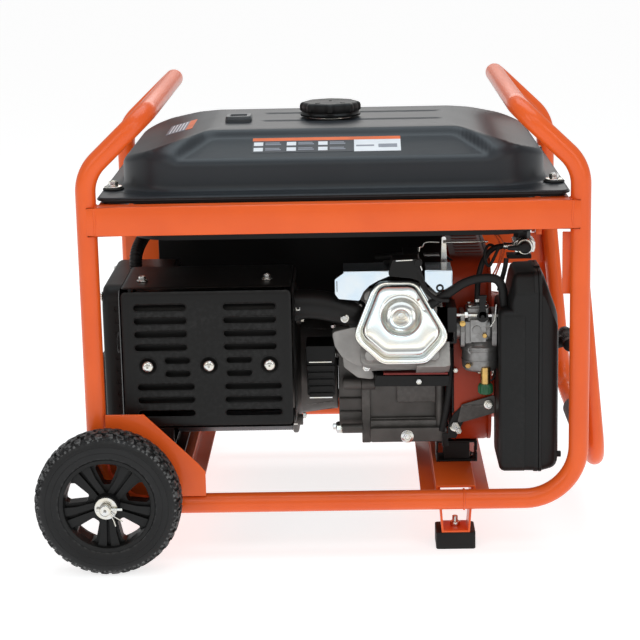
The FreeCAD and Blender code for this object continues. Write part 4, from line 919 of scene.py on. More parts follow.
def engine_castings():
    """Crankcase with its side cover, bosses, foot and rear face details."""
    case = Piece()
    case.slab(rounded_polygon([(335, 132), (335, 317), (150, 317), (119, 280), (119, 132)], 16), (36, 156),
              "yz")
    case.slab(rounded_polygon([(330, 140), (330, 310), (160, 310), (125, 275), (125, 140)], 26), (2, 37),
              "yz")
    case.block((35, 47.5), (114, 340), (131, 226))
    case.slab(rounded_outline((47, 136), (158, 157), 3), (98, 350))
    case.block((47, 156), (108, 120), (152, 166))
    case.block((47.5, 142), (113.5, 120), (164.5, 168.5))
    case.block((86, 142), (110, 122), (192, 227))
    case.block((90, 139), (106, 122), (217, 229))
    for start, end, radius in (((8, 113, 221), (35, 113, 221), 8.6), ((35, 113, 221), (55, 113, 221), 9.4),
                               ((6, 108, 155), (36, 108, 155), 7.0), ((148, 112, 140), (148, 112, 260), 7)):
        case.rod(start, end, radius)
    for z in (176, 196):
        case.block((3, 35), (121, 126), (z - 1.2, z + 1.2))
    for y, z in ((150, 296), (310, 300), (322, 150), (136, 150), (132, 262)):
        case.rod((-1.5, y, z), (6, y, z), 7.5)
    for k in range(7):
        case.block((60 + 13 * k, 64 + 13 * k), (334, 341), (165, 300))
    case.build("crankcase_casting", CAST, replaces=["crankcase"], bevel=1.3, segments=3)

    fixings = Piece()
    fixings.bolt((100, 98, 144.5), (0, -1, 0), 10, washer=9.5)
    fixings.bolt((6, 107, 155), (-1, 0, 0), 11, washer=6.5)
    for y, z in ((150, 296), (310, 300), (322, 150), (136, 150), (132, 262)):
        fixings.bolt((-1.5, y, z), (-1, 0, 0), 8, washer=6.5)
    fixings.bolt((116, 51.6, 239), (0, -1, 0), 7)
    fixings.bolt((12, 58, 329), (0, -1, 0), 9, washer=7)
    fixings.bolt((42, 51.6, 262), (0.1, -1, -0.2), 10)
    fixings.bolt((169, 94, 160), (0, -1, 0.3), 10, washer=8)
    fixings.bolt((173, 92.4, 154), (0.3, -1, 0), 8)
    fixings.bolt((217, 89, 193), (0, -1, 0), 9, washer=7)
    fixings.bolt((170, 92, 244), (0, -1, 0), 6)
    for x in (-262, -176.7, -92.3):
        fixings.lathe([(0, 0.4), (0, 3.4), (3.2, 3.4), (3.6, 8.2), (4.4, 8.0), (6.4, 6.4), (7.3, 4.0),
                       (7.5, 1.6),
                       (6.4, 1.2), (6.2, 0.4)], (x, 12.4, 277), (0, -1, 0), 40, joined=True)
    for x in (-270, -95):
        fixings.bolt((x, 60, 388.5), (0, 0, 1), 9, washer=8)
    for x, z in ((-52, 351), (13, 334)):
        fixings.bolt((x, 42, z), (0, -1, 0.1), 8, washer=6)
    fixings.build("engine_screws", ZINC, replaces=["engine_fasteners"], bevel=0.25)

    strip = Piece()
    strip.slab(rounded_polygon([(52, 232), (158, 231), (160, 246), (56, 248)], 3), (52, 78))
    strip.block((60, 150), (76, 122), (232, 248))
    strip.build("lower_air_shroud", BLACK_PAINT, bevel=0.8)
    line = Piece()
    line.slab(rounded_polygon([(66, 248.4), (157, 247.8), (157, 250.6), (66, 251.2)], 1), (53, 76))
    line.build("base_gasket_edge", GASKET_RED, bevel=0.2)


def cylinder_and_head():
    """Finned barrel and head on the leaning axis, with ports, lugs and the pale side casting."""
    barrel = Piece()
    for k in range(6):
        s = 92 + 11 * k
        barrel.slab(rounded_outline((-57, -57), (57, 57), 14), (-s - 1.6, -s + 1.6))
    barrel.rod((0, -62, 0), (0, -163, 0), 49, sides=64)
    barrel.slab(rounded_outline((-52, -52), (52, 52), 12), (-164.6, -156))
    barrel.leaned()
    barrel.build("finned_barrel", CAST, bevel=0.5)

    head = Piece()
    head.slab(rounded_outline((-50, -50), (50, 50), 10), (-227.6, -166))
    for k in range(5):
        s = 173 + 10 * k
        head.slab(rounded_outline((-58, -55), (58, 55), 12), (-s - 1.5, -s + 1.5))
    head.slab(rounded_polygon([(-66, -20), (-35, 59), (22, 59), (65, -21), (33, -54), (-27, -54)][::-1], 16,
                              4), (-227.6, -214))
    head.slab([(56, 30), (66, 12), (67, -58), (60, -60), (20, -60), (20, -40)][::-1], (-222, -168))
    head.slab(rounded_outline((50, -24), (58, 24), 5), (-222, -178))
    for t in (-18, 18):
        head.rod((59, -200, t), (66, -200, t), 6)
    for x, t in ((-44, 40), (44, 40), (-44, -44), (44, -44)):
        head.rod((x, -230, t), (x, -206, t), 8)
    head.leaned()
    head.build("cylinder_head_casting", PALE_CAST, replaces=["cylinder_head"], bevel=0.9, segments=2)

    side = Piece()
    outline = [(-6, 312), (30, 320), (36, 300), (44, 262), (30, 262), (8, 275), (-2, 291)]
    side.slab(rounded_polygon(outline[::-1], 7), (52, 78))
    side.slab(rounded_polygon([(8, 275), (44, 262), (58, 236), (30, 240), (10, 256)][::-1], 8), (72, 112))
    side.slab(rounded_polygon([(20, 352), (38, 352), (38, 330), (20, 330)][::-1], 4), (52, 90))
    side.build("side_casting", PALE_CAST, bevel=1.6, segments=3)

    gasket = Piece()
    gasket.slab(rounded_polygon([(-69, -20), (-36, 62), (23, 62), (68, -21), (34, -57), (-28, -57)], 22, 8),
                (-229.8, -227.6))
    gasket.leaned()
    gasket.build("cover_gasket", RUBBER, replaces=["engine_gaskets"], bevel=0.3)
    red = Piece()
    red.slab(rounded_outline((-54, -50), (60, 54), 8), (-166.4, -164.4))
    red.leaned()
    red.build("head_gasket", GASKET_RED, bevel=0)
    insulator = Piece()
    insulator.slab(rounded_outline((156, 297), (169, 349), 2.5), (34, 88))
    insulator.build("intake_insulator", BLACK_PLASTIC, bevel=0.8)


def by_angle(outline, centre, count=144):
    """The points of an outline seen from a centre at even angles."""
    result = []
    for k in range(count):
        angle = 2 * math.pi * k / count
        ray = Vector((math.cos(angle), math.sin(angle)))
        best = 0
        for a, b in zip(outline, outline[1:] + outline[:1]):
            a, side = Vector(a) - centre, Vector(b) - Vector(a)
            spread = ray.cross(side)
            if abs(spread) > 1e-9 and -1e-6 <= a.cross(ray) / spread <= 1 + 1e-6:
                best = max(best, a.cross(side) / spread)
        result.append(tuple(centre + ray * best))
    return result


def valve_cover():
    """Bright pressed cover: flat rim, groove, raised crowned panel, round dish and its bolt."""
    dish = Vector((-0.5, 7))
    outline = by_angle(rounded_polygon([(-69, -20), (-36, 62), (23, 62), (68, -21), (34, -57), (-28, -57)],
                                       22, 12), dish)
    middle = Vector((-0.5, 2))
    cover = Piece()
    rings = []
    for scale, s in ((0.985, 229.9), (1.0, 230.4), (1.004, 231.4), (1.0, 232.6), (0.99, 233.4),
                     (0.975, 233.7), (0.885, 233.7),
                     (0.872, 233.2), (0.864, 232.0), (0.857, 231.4), (0.850, 232.4), (0.845, 236),
                     (0.838, 241.5),
                     (0.828, 245.2), (0.812, 247.6), (0.79, 248.9), (0.76, 249.5), (0.66, 250.2)):
        rings.append([tuple(middle + (Vector(p) - middle) * scale) + (s,) for p in outline])
    count = len(outline)
    for radius, s in ((31, 250.5), (28.8, 250.2), (27, 249.2), (25.6, 246.8), (24, 243.4), (21.6, 240.6),
                      (18, 238.8),
                      (14, 238.0), (9, 237.8), (0.6, 237.8)):
        rings.append([(dish.x + radius * math.cos(2 * math.pi * k / count),
                       dish.y + radius * math.sin(2 * math.pi * k / count), s)
                      for k in range(count)])
    cover.add([[(x, -s, t) for x, t, s in ring] for ring in rings])
    cover.leaned()
    cover.build("valve_cover_pressing", CHROME, replaces=["valve_cover"], bevel=0, smooth=50)
    bolt = Piece()
    bolt.lathe([(0, 11.6), (1.0, 12.2), (2.0, 11.8), (2.8, 10.4), (2.8, 0.4), (0, 0.4)],
               (dish.x, -238, dish.y), (0, -1, 0), 48,
               joined=True)
    bolt.hexagon((dish.x, -240, dish.y), (dish.x, -246.5, dish.y), 14)
    bolt.lathe([(0, 7.0), (1.4, 6.4), (2.0, 4.8), (2.0, 3.2), (1.4, 2.4), (1.4, 0.4), (0, 0.4)],
               (dish.x, -246.4, dish.y),
               (0, -1, 0), 32, joined=True)
    bolt.leaned()
    bolt.build("valve_cover_bolt", ZINC, bevel=0.3)


def deflectors():
    left = [(0, 391), (14, 401), (78, 402), (80, 396), (60, 388), (48, 381), (40, 373), (34, 360), (5, 363),
            (0, 370)]
    right = [(125, 402), (163, 401), (164, 378), (141, 369), (125, 386)]
    plates = Piece()
    plates.slab(rounded_polygon(left[::-1], 3.5), (36, 37.5))
    plates.slab(rounded_polygon([(2, 389), (4, 389), (4, 373), (2, 373)][::-1], 0.5), (36, 70))
    plates.block((12, 78), (36, 96), (400.5, 402))
    plates.slab(rounded_polygon(right[::-1], 2.5), (38, 39.5))
    plates.block((127, 163), (38, 96), (399.5, 401))
    plates.block((162, 163.6), (38, 70), (380, 400))
    plates.build("bright_deflectors", DEFLECTOR_BLUE_REFLECTION, replaces=["heat_deflectors"], bevel=0.5, segments=3)
    ring = Piece()
    ring.tube([(146 + 4.2 * math.cos(a), 36.8,
                376 + 4.2 * math.sin(a)) for a in [2 * math.pi * k / 20 for k in range(20)]],
              1.3, 8, closed=True)
    ring.build("deflector_grommet", RUBBER, bevel=0)
    top = Piece()
    top.slab(rounded_polygon([(80, 419), (118, 420), (119, 404), (126, 384), (108, 392), (74, 396)][::-1],
                             4), (28, 64))
    top.tube(softened([(112, 32, 408), (118, 30, 392), (128, 26, 372), (142, 26, 362), (158, 30, 360)]),
             3.2, 18)
    top.rod((116, 26, 414), (116, 34, 414), 5.5)
    top.block((96, 118), (66, 110), (392, 420))
    top.build("top_air_duct", BLACK_PAINT, bevel=1.0, segments=3)
    glint = Piece()
    glint.tube([(85, 27.6, 417.6), (108, 27.6, 418.4)], 0.9, 8)
    glint.tube([(119, 27, 410), (121, 27, 404)], 0.9, 8)
    glint.build("duct_spring_clips", ZINC, bevel=0)
    boot = Piece()
    boot.tube(softened([(100, 62, 408), (100, 96, 412), (88, 130, 404), (60, 150, 398)]), 5, 16)
    boot.build("plug_lead", RUBBER, bevel=0)
    refined("spark_plug", RUBBER, 0.4)


def exhaust_parts():
    shell = Piece()
    shell.slab(rounded_polygon([(116, 202), (116, 370), (24, 370), (24, 202)], 24, 8), (-288, -74), "yz")
    for x in (-286, -76):
        shell.slab(rounded_polygon([(119, 199), (119, 373), (21, 373), (21, 199)], 26, 8), (x - 2, x + 2),
                   "yz")
    shell.rod((-308, 62, 300), (-280, 62, 300), 15)
    shell.tube(softened([(-74, 62, 341), (-20, 62, 352), (36, 78, 336), (44, 110, 322)]), 17, 32)
    shell.build("muffler_can", BLACK_PAINT, replaces=["muffler"], bevel=0.8)
    pipe = Piece()
    pipe.tube(softened([(-58, 56, 353), (-20, 56, 352), (22, 62, 338), (36, 74, 336)]), 20.5, 40)
    pipe.slab(rounded_outline((18, 318), (34, 356), 5), (52, 76))
    pipe.block((-56, -40), (40, 46), (340, 360))
    pipe.build("exhaust_pipe_shroud", BLACK_PAINT, bevel=1.0)

    shield = Piece()
    x0, x1, z0, z1, front = -300, -57, 185, 388, 10
    radius = 11
    rings = []
    for x, inset in ((x0, 9), (x0 + 0.6, 5.8), (x0 + 2.4, 2.6), (x0 + 5.6, 0.6), (x0 + 9, 0), (x1 - 9, 0),
                     (x1 - 5.6, 0.6),
                     (x1 - 2.4, 2.6), (x1 - 0.6, 5.8), (x1, 9)):
        low, high = z0 + inset, z1 - inset
        edge = [(163, high)] + arc((front + inset + radius, high - radius), radius, 90, 180, 8)
        edge += arc((front + inset + radius, low + radius), radius, 180, 270, 8) + [(118, low)]
        rings.append([(x, y, z) for y, z in edge + [(118, z1 - 21)]])
    shield.add(rings)
    openings = Piece()
    openings.slab(rounded_polygon([(130, z0 - 5), (130, z1 - 22), (170, z1 - 22), (170, z1 - 1.6),
                                   (front + 1.6, z1 - 1.6),
                               (front + 1.6, z0 + 1.6), (112, z0 + 1.6), (112, z0 - 5)], 1),
                  (x0 + 1.8, x1 - 1.8), "yz")
    dimples = Piece()
    for line in range(-4, 5):
        z = 284.9 - 18.9 * line
        spans = ((-238, -203), (-152, -117)) if line in (0, 1) else (
            ((-277, -198), (-155, -76)) if line > 1 else ((-279, -206), (-155, -82)))
        for left, right in spans:
            openings.slab(rounded_outline((left, z - 4.5), (right, z + 4.5), 4.45, 6),
                          (front - 6, front + 6))
            rim = rounded_outline((left - 1.3, z - 5.8), (right + 1.3, z + 5.8), 5.7, 6)
            lip = rounded_outline((left + 0.1, z - 4.4), (right - 0.1, z + 4.4), 4.3, 6)
            dimples.add([[(x, front - 0.05, zz) for x, zz in rim], [(x, front - 0.9, zz) for x, zz in
                         rounded_outline((left - 0.6, z - 5.1), (right + 0.6, z + 5.1), 5.0, 6)],
                         [(x, front - 0.5, zz) for x, zz in lip], [(x, front + 1.4, zz) for x, zz in lip]],
                        joined=True)
    for x in (-262, -176.7, -92.3):
        openings.rod((x, front - 6, 277), (x, front + 6, 277), 12.6, sides=40)
        dimples.lathe([(-0.4, 14.5), (0.6, 12.6), (3.4, 9.4), (3.6, 3.0), (4.8, 3.0), (4.8, 9.8),
                       (1.6, 13.8)],
                      (x, front, 277), (0, 1, 0), 48, joined=True)
    shield.build("muffler_guard", BLACK_PAINT, replaces=["muffler_shield"], bevel=0, smooth=40,
                 carve=openings)
    dimples.build("guard_slot_lips", BLACK_PAINT, bevel=0, smooth=50)


# ------------------------------------------------------------------ alternator side

def alternator():
    """Vent box, bell, finned stator pack and slotted end cover with their through bolts."""
    hood = Piece()
    hood.slab(rounded_polygon([(-43, 207), (-3, 207), (-3, 280), (-43, 280)], 3), (101, 156))
    hood.slab(rounded_outline((-44, 258), (-2, 281), 2), (98.2, 156))
    for k in range(5):
        z = 249 - 10.2 * k
        hood.slab(rounded_outline((-43.4 + 0.8 * k, z - 3.1), (-2.6 - 0.8 * k, z + 3.1), 1.6, 4),
                  (98.2, 104))
    hood.build("vent_box", BLACK_PAINT, replaces=["air_outlet_box"], bevel=0.8)
    line = Piece()
    line.block((-40, -7), (97.2, 98.6), (256.6, 258.2))
    line.block((-40, -7), (99, 101.4), (203.4, 205.6))
    line.build("vent_box_clip", ZINC, bevel=0.3)
    bell = Piece()
    bell.lathe([(-68, 102), (-68, 112), (-66.6, 114), (-62, 114), (-60, 112), (-55, 86), (-53, 84),
                (-10, 78.4), (-1, 78),
                (0, 77), (0, 40), (-8, 40), (-8, 70), (-54, 76), (-62, 102)], (0, 240, 230), (1, 0, 0), 96,
               joined=True)
    for k in range(4):
        angle = math.radians(45 + 90 * k)
        y, z = 240 + 108 * math.cos(angle), 230 + 108 * math.sin(angle)
        bell.rod((-68, y, z), (-52, y, z), 8)
    for k in range(16):
        angle = math.radians(22.5 * k)
        along, out = Vector((0, math.cos(angle), math.sin(angle))), Vector((-54, 240, 230))
        bell.rod(out + along * 82, Vector((-6, 240, 230)) + along * 77, 2.0, sides=12)
    bell.build("alternator_bell_casting", CAST, replaces=["alternator_bell"], bevel=0.8)
    stack = Piece()
    profile = []
    for k in range(50):
        x = -238 + 3.4 * k
        profile += [(x, 109.2), (x, 110), (x + 2.2, 110), (x + 2.2, 109.2)]
    profile = [p for p in profile if -239 < p[0] < -69]
    stack.lathe([(-240, 66), (-240, 109)] + profile + [(-68.2, 109), (-68.2, 70)], (0, 240, 230), (1, 0, 0),
                72, joined=True)
    stack.build("stator_stack", LAMINATION, replaces=["stator"], bevel=0)
    windings = Piece()
    for x in (-243, -246.6, -250):
        windings.lathe([(x - 2, 70), (x - 2, 96), (x + 1.6, 98), (x + 1.6, 70)], (0, 240, 230), (1, 0, 0),
                       60, joined=True)
    windings.build("stator_windings", COPPER, bevel=0.4)
    cover = Piece()
    shape = rounded_outline((125, 122), (355, 366), 26)

    def face(x, inset):
        return [(x, y + inset * (240 - y) / 115, z + inset * (244 - z) / 122) for y, z in shape]
    cover.add([face(-338, 9), face(-337.4, 5.6), face(-335.6, 2.8), face(-332, 0.8), face(-328, 0),
               face(-246, 0), face(-245.4, 0.9),
               face(-240.6, 0.9)])
    vents = Piece()
    vents.add([face(-335, 8), face(-330, 3.4), face(-236, 3.2)])
    for z in range(150, 345, 18):
        vents.slab(rounded_outline((160, z), (320, z + 8), 3.9, 6), (-345, -325), "yz")
        vents.slab(rounded_outline((-320, z), (-260, z + 8), 3.9, 6), (115, 126.4))
    cover.build("alternator_slotted_cover", BLACK_PAINT, replaces=["alternator_end_cover"], bevel=0,
                carve=vents)
    bolts = Piece()
    for k in range(4):
        angle = math.radians(45 + 90 * k)
        y, z = 240 + 104 * math.cos(angle), 230 + 104 * math.sin(angle)
        bolts.bolt((-52, y + 2, z + 2), (1, 0, 0), 8)
        bolts.bolt((-337.8, 240 + 100 * (1 if k in (0, 3) else -1), 244 + 106 * (1 if k < 2 else -1)),
                   (-1, 0, 0), 8, washer=7)
        bolts.rod((-239, 240 + 113.4 * math.cos(angle), 230 + 113.4 * math.sin(angle)),
                  (-60, 240 + 113.4 * math.cos(angle), 230 + 113.4 * math.sin(angle)), 3)
    bolts.build("alternator_bolts", ZINC, bevel=0.25)


# ------------------------------------------------------------------ shroud and recoil starter

def fan_shroud():
    """Pressed red shroud round the flywheel, with louvre ribs on its top edge and round intake."""
    outline = rounded_polygon([(385, 128), (385, 402), (95, 402), (95, 128)], 55, 12)
    shroud = Piece()
    rings = []
    for x, inset in ((165, 0), (166, -0.0), (168, 0.0), (212, 0.0), (216, 0.8), (219, 2.6), (221, 5.6),
                     (222, 9.5)):
        rings.append([(x, y + inset * (1 if y < 240 else -1), z + inset * (1 if z < 265 else -1)) for y,
                      z in outline])
    inner = [(x, y + 1.5 * (1 if y < 240 else -1), z + 1.5 * (1 if z < 265 else -1)) for x, y,
             z in rings[-2]]
    shroud.add(rings + [[(219.4, y, z) for x, y, z in inner],
                        [(165, y + 2 * (1 if y < 240 else -1), z + 2 * (1 if z < 265 else -1))
                                                              for y, z in outline]], joined=True)
    shroud.slab(outline, (217.4, 221.6), "yz")
    shroud.lathe([(0, 97), (2, 97), (2, 90), (0, 90)], (220, 240, 230), (1, 0, 0), 72, joined=True)
    hole = Piece().rod((200, 240, 230), (240, 240, 230), 92, sides=72)
    shroud.build("fan_shroud_pressing", SHROUD_RED_SHADED, replaces=["fan_shroud"], bevel=0, carve=hole)
    ribs = Piece()
    for k in range(8):
        y = 160 + 22 * k
        ribs.slab(rounded_outline((173, y - 3), (212, y + 3), 2.9, 5), (401.2, 403), "xy")
    for k in range(6):
        z = 190 + 24 * k
        ribs.slab(rounded_outline((176, z - 3), (210, z + 3), 2.9, 5), (384.4, 386.4))
    ribs.build("shroud_ribs", SHROUD_RED_SHADED, bevel=0.6)
    edge = Piece()
    edge.tube([(166, 94.4, 180), (166, 94.4, 340)], 1.6, 12)
    edge.tube(softened([(160, 100, 300), (164, 95, 260), (160, 96, 200), (150, 100, 152)]), 5, 20)
    edge.build("shroud_seal", RUBBER, bevel=0)


def recoil_starter():
    """Slotted recoil housing on the shroud, its grip on the rope and the rope reel inside."""
    housing = Piece()
    profile = [(222, 97), (224, 97), (225, 95.6), (244, 93.4), (262, 90), (276, 85), (284, 80), (288, 74),
               (289.6, 66),
               (290, 56), (290, 22), (287, 18), (286.4, 1)]
    back = [(283, 1), (283, 22), (286, 56), (285.4, 65), (284, 71), (281, 76), (274, 81.4), (262, 86.4),
            (244, 90), (222, 93)]
    housing.lathe(profile + back, (0, 240, 230), (1, 0, 0), 108, joined=True)
    slots = Piece()
    for k in range(20):
        angle = 18 * k
        if 195 < angle < 218:
            continue
        points = [(240 + r * math.cos(math.radians(angle + twist)),
                   230 + r * math.sin(math.radians(angle + twist)))
                  for r, twist in ((30, 0), (57, 0), (57, 7), (30, 9))]
        slots.slab(rounded_polygon(points, 2.8, 4), (270, 296), "yz")
    for k in range(24):
        angle = math.radians(15 * k)
        if 190 < 15 * k < 225:
            continue
        y, z = 240 + 92 * math.cos(angle), 230 + 92 * math.sin(angle)
        out = Vector((0, math.cos(angle), math.sin(angle)))
        slots.rod(Vector((238, y, z)) - out * 10, Vector((238, y, z)) + out * 12, 3.2, sides=14)
        slots.rod(Vector((248, y, z)) - out * 12, Vector((248, y, z)) + out * 12, 3.2, sides=14)
    housing.build("recoil_cover", SHROUD_RED_SHADED, replaces=["recoil_housing"], bevel=0, carve=slots)
    eye = Piece()
    eye.lathe([(284, 13), (303, 12.6), (305, 11), (305, 7.4), (303.4, 6.6), (301, 6.2), (284, 6.2)],
              (0, 200, 244), (1, 0, 0),
              40, joined=True)
    eye.build("rope_eye", BLACK_PLASTIC, bevel=0)
    bolts = Piece()
    for k in range(3):
        angle = math.radians(60 + 120 * k)
        y, z = 240 + 97 * math.cos(angle), 230 + 97 * math.sin(angle)
        bolts.rod((221, y, z), (225.4, y, z), 9)
        bolts.bolt((225, y, z), (1, 0, 0), 9, washer=8)
    bolts.bolt((286.4, 240, 230), (1, 0, 0), 8, washer=9)
    bolts.build("recoil_bolts", ZINC, bevel=0.25)

    grip = Piece()
    grip.lathe([(-42, 1), (-42, 7), (-40.4, 9.6), (-37, 10.4), (-20, 9.4), (-10, 9.8), (0, 10.2), (10, 9.8),
                (20, 9.4),
                (37, 10.4), (40.4, 9.6), (42, 7), (42, 1)], (0, 0, 0), (0, 1, 0), 36)
    for k in range(9):
        y = -28 + 7 * k
        grip.lathe([(y - 1.2, 9.2), (y - 0.8, 10.6), (y + 0.8, 10.6), (y + 1.2, 9.2)], (0, 0, 0), (0, 1, 0),
                   36, joined=True)
    grip.lathe([(-2, 9), (-12, 8.4), (-20, 6.8), (-25, 6.6), (-26, 5.6), (-26, 2.6), (-2, 2.6)], (0, 0, 0),
               (1, 0, 0), 32, joined=True)
    grip.move(Matrix.Translation((341, 200, 261)) @ Matrix.Rotation(math.radians(-25), 4, "Y"))
    grip.build("recoil_pull_grip", BLACK_PLASTIC, body="recoil_grip", replaces=["recoil_grip"], bevel=0,
               smooth=45)
    rope = Piece()
    begin, end = Vector((286, 200, 235.5)), Vector((319, 200, 250.8))
    rope.tube([begin.lerp(end, k / 40) for k in range(41)], 2.4, 12)
    cord = rope.build("starter_rope", BLACK_PLASTIC, body=None, bevel=0)
    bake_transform(cord)
    refined("recoil_pulley", BLACK_PLASTIC)
    refined("crankshaft", STEEL)
    refined("flywheel", CAST)
    refined("rotor", LAMINATION)


# ------------------------------------------------------------------ intake side

def air_cleaner():
    """Moulded base with a narrower top, sealing lip, bevelled cover, clips and lid washer."""
    low = rounded_polygon([(124, 114), (124, 350), (10, 350), (10, 114)], 13, 8)
    tall = rounded_polygon([(124, 114), (124, 372), (112, 399.5), (22, 399.5), (10, 372), (10, 114)], 13, 8)

    def ring(shape, x, inset, top=400):
        points = []
        for y, z in shape:
            lowered = z - (400 - top) * smooth_step(z, 290, 399)
            points.append((x, y + inset * (67 - y) / 57, lowered + inset * (250 - lowered) / 140))
        return points
    base = Piece()
    base.add([ring(low, 226.4, 9), ring(low, 227.4, 4.5), ring(low, 230, 1.8), ring(low, 234, 0.6),
              ring(low, 262, 0.4)])
    base.add([ring(tall, 240, 12, 372), ring(tall, 245.5, 5, 392), ring(tall, 248.6, 2.4, 398),
              ring(tall, 253, 1.2),
              ring(tall, 274, 0.6), ring(tall, 275, -0.4), ring(tall, 280.6, -0.4), ring(tall, 281, 0.6)])
    base.build("air_cleaner_body", BLACK_PLASTIC, replaces=["air_cleaner_base"], bevel=0, smooth=50)
    cover = Piece()
    cover.add([ring(tall, 281.3, 0.6), ring(tall, 281.7, -0.6), ring(tall, 285.4, -0.6),
               ring(tall, 286, 0.8), ring(tall, 289, 1.4, 396),
               ring(tall, 294, 2.4, 384), ring(tall, 299, 3.6, 370), ring(tall, 303, 5.2, 360),
               ring(tall, 306.4, 8, 352),
               ring(tall, 308.6, 12, 346), ring(tall, 309.8, 19, 338), ring(tall, 310, 24, 332)])
    groove = Piece()
    groove.slab(rounded_polygon([(98, 142), (98, 316), (36, 316), (36, 142)], 8), (308.6, 313), "yz")
    cover.build("air_cleaner_lid", BLACK_PLASTIC, replaces=["air_cleaner_cover"], bevel=0, smooth=50,
                carve=groove)
    knob = Piece()
    knob.lathe([(0, 13), (0.8, 14), (1.2, 13.2), (1.2, 0.5), (0, 0.5)], (308.2, 67, 250), (1, 0, 0), 40,
               joined=True)
    knob.build("lid_washer", ZINC, bevel=0)
    clip = Piece()
    clip.rod((300, 26, 137), (314, 26, 137), 4.4)
    clip.slab(rounded_outline((296, 128), (308, 146), 3), (18, 34))
    clip.slab(rounded_outline((277, 393), (286, 402.6), 2), (52, 66))
    clip.build("lid_clips", BLACK_PLASTIC, bevel=0.7)
    refined("filter_element", FOAM)


def carburettor():
    """Turned body between two flanges, square cap, float bowl, screws and cut-off solenoid."""
    body = Piece()
    body.lathe([(169, 15), (179.6, 15), (180, 18.6), (190, 19.2), (206, 19.2), (216, 18.6), (219, 16),
                (226, 16)], (0, 59, 313),
               (1, 0, 0), 48)
    flange = rounded_polygon([(38, 290), (80, 290), (87, 313), (80, 340), (38, 340), (31, 313)], 8)
    body.slab(flange, (174.4, 180.2), "yz")
    body.slab(flange, (218, 225), "yz")
    body.slab(rounded_outline((183, 43), (215, 75), 4), (300, 345), "xy")
    body.slab(rounded_outline((186, 46), (212, 72), 3), (345, 347.4), "xy")
    body.block((188, 210), (36, 46), (298, 330))
    body.slab(rounded_polygon([(40, 296), (50, 288), (50, 330), (40, 326)], 3), (181, 190), "yz")
    body.lathe([(286, 27), (290, 27), (291, 25), (294, 22), (300, 17), (303, 15)], (203, 59, 0), (0, 0, 1),
               48)
    body.rod((197, 34, 316), (197, 42, 316), 6)
    body.rod((190, 38, 286), (190, 50, 286), 6)
    body.build("carburettor_body", CARB_METAL, replaces=["carburettor"], bevel=0.6)
    bowl = Piece()
    bowl.lathe([(253, 0.5), (253, 17), (254.6, 22.4), (258, 25.0), (264, 25.8), (284, 25.8), (284.6, 27.4),
                (286.6, 27.4)],
               (203, 59, 0), (0, 0, 1), 56)
    bowl.lathe([(268.6, 25.9), (269.2, 26.5), (270.6, 26.5), (271.2, 25.9), (271.2, 24), (268.6, 24)],
               (203, 59, 0), (0, 0, 1), 56,
               joined=True)
    bowl.build("float_bowl", CARB_METAL, bevel=0.3, smooth=45)
    brass = Piece()
    brass.bolt((185, 36.4, 266), (-0.2, -1, -0.4), 7)
    brass.lathe([(0, 4.2), (2, 4.2), (2.4, 3.6), (2.4, 0.4)], (177, 33.5, 326), (0, -1, 0), 24)
    brass.lathe([(0, 3.4), (4, 3.4), (4.6, 2.6), (4.6, 0.4)], (208, 36, 308), (0, -1, 0), 24)
    for k in range(4):
        brass.rod((176 + 0.6 * k, 33, 324), (176 + 0.6 * k, 33, 328), 0.2, sides=6)
    brass.rod((209, 37, 238), (209, 37, 262), 7, sides=40)
    brass.build("jets_and_cut_off", BRASS, bevel=0.3)
    cap = Piece()
    cap.lathe([(223.6, 0.5), (223.6, 8.4), (225, 9.8), (236.6, 9.8), (238.4, 8.6), (238.4, 0.5)],
              (209, 37, 0), (0, 0, 1), 36)
    for k in range(14):
        angle = 2 * math.pi * k / 14
        cap.rod((209 + 9.6 * math.cos(angle), 37 + 9.6 * math.sin(angle), 225.6),
                (209 + 9.6 * math.cos(angle), 37 + 9.6 * math.sin(angle), 235.6), 1.1, sides=8)
    cap.build("cut_off_cap", GREEN_CAP, bevel=0)
    screws = Piece()
    for x, y in ((188, 48), (210, 48), (188, 70), (210, 70)):
        screws.lathe([(0, 3.6), (1.6, 3.4), (2.4, 2.4), (2.4, 0.3)], (x, y, 347), (0, 0, 1), 20)
    screws.rod((169, 40, 337), (226, 40, 335), 2.6)
    screws.bolt((180.2, 40, 337), (1, 0, 0), 8)
    screws.rod((169, 78, 300), (226, 78, 300), 2.6)
    screws.hexagon((203, 59, 253), (203, 59, 248.6), 11)
    screws.tube([(216, 36, 320), (222, 34, 330), (224, 34, 352)], 1.1, 10)
    screws.build("carburettor_screws", ZINC, bevel=0.2)
    lever = Piece()
    lever.lathe([(0, 6), (0, 8), (2.4, 8), (2.4, 2), (0, 2)], (205, 35.6, 335), (0, -1, 0), 28, joined=True)
    lever.slab(rounded_polygon([(199, 333), (211, 333), (209, 352), (211, 366), (199, 366), (201, 352)],
                               2.6), (33.2, 35.2))
    lever.block((199, 211), (29, 35.2), (364.2, 366))
    lever.build("choke_plate", BLACK_PLASTIC, body="choke_lever", replaces=["choke_lever"], bevel=0.5)


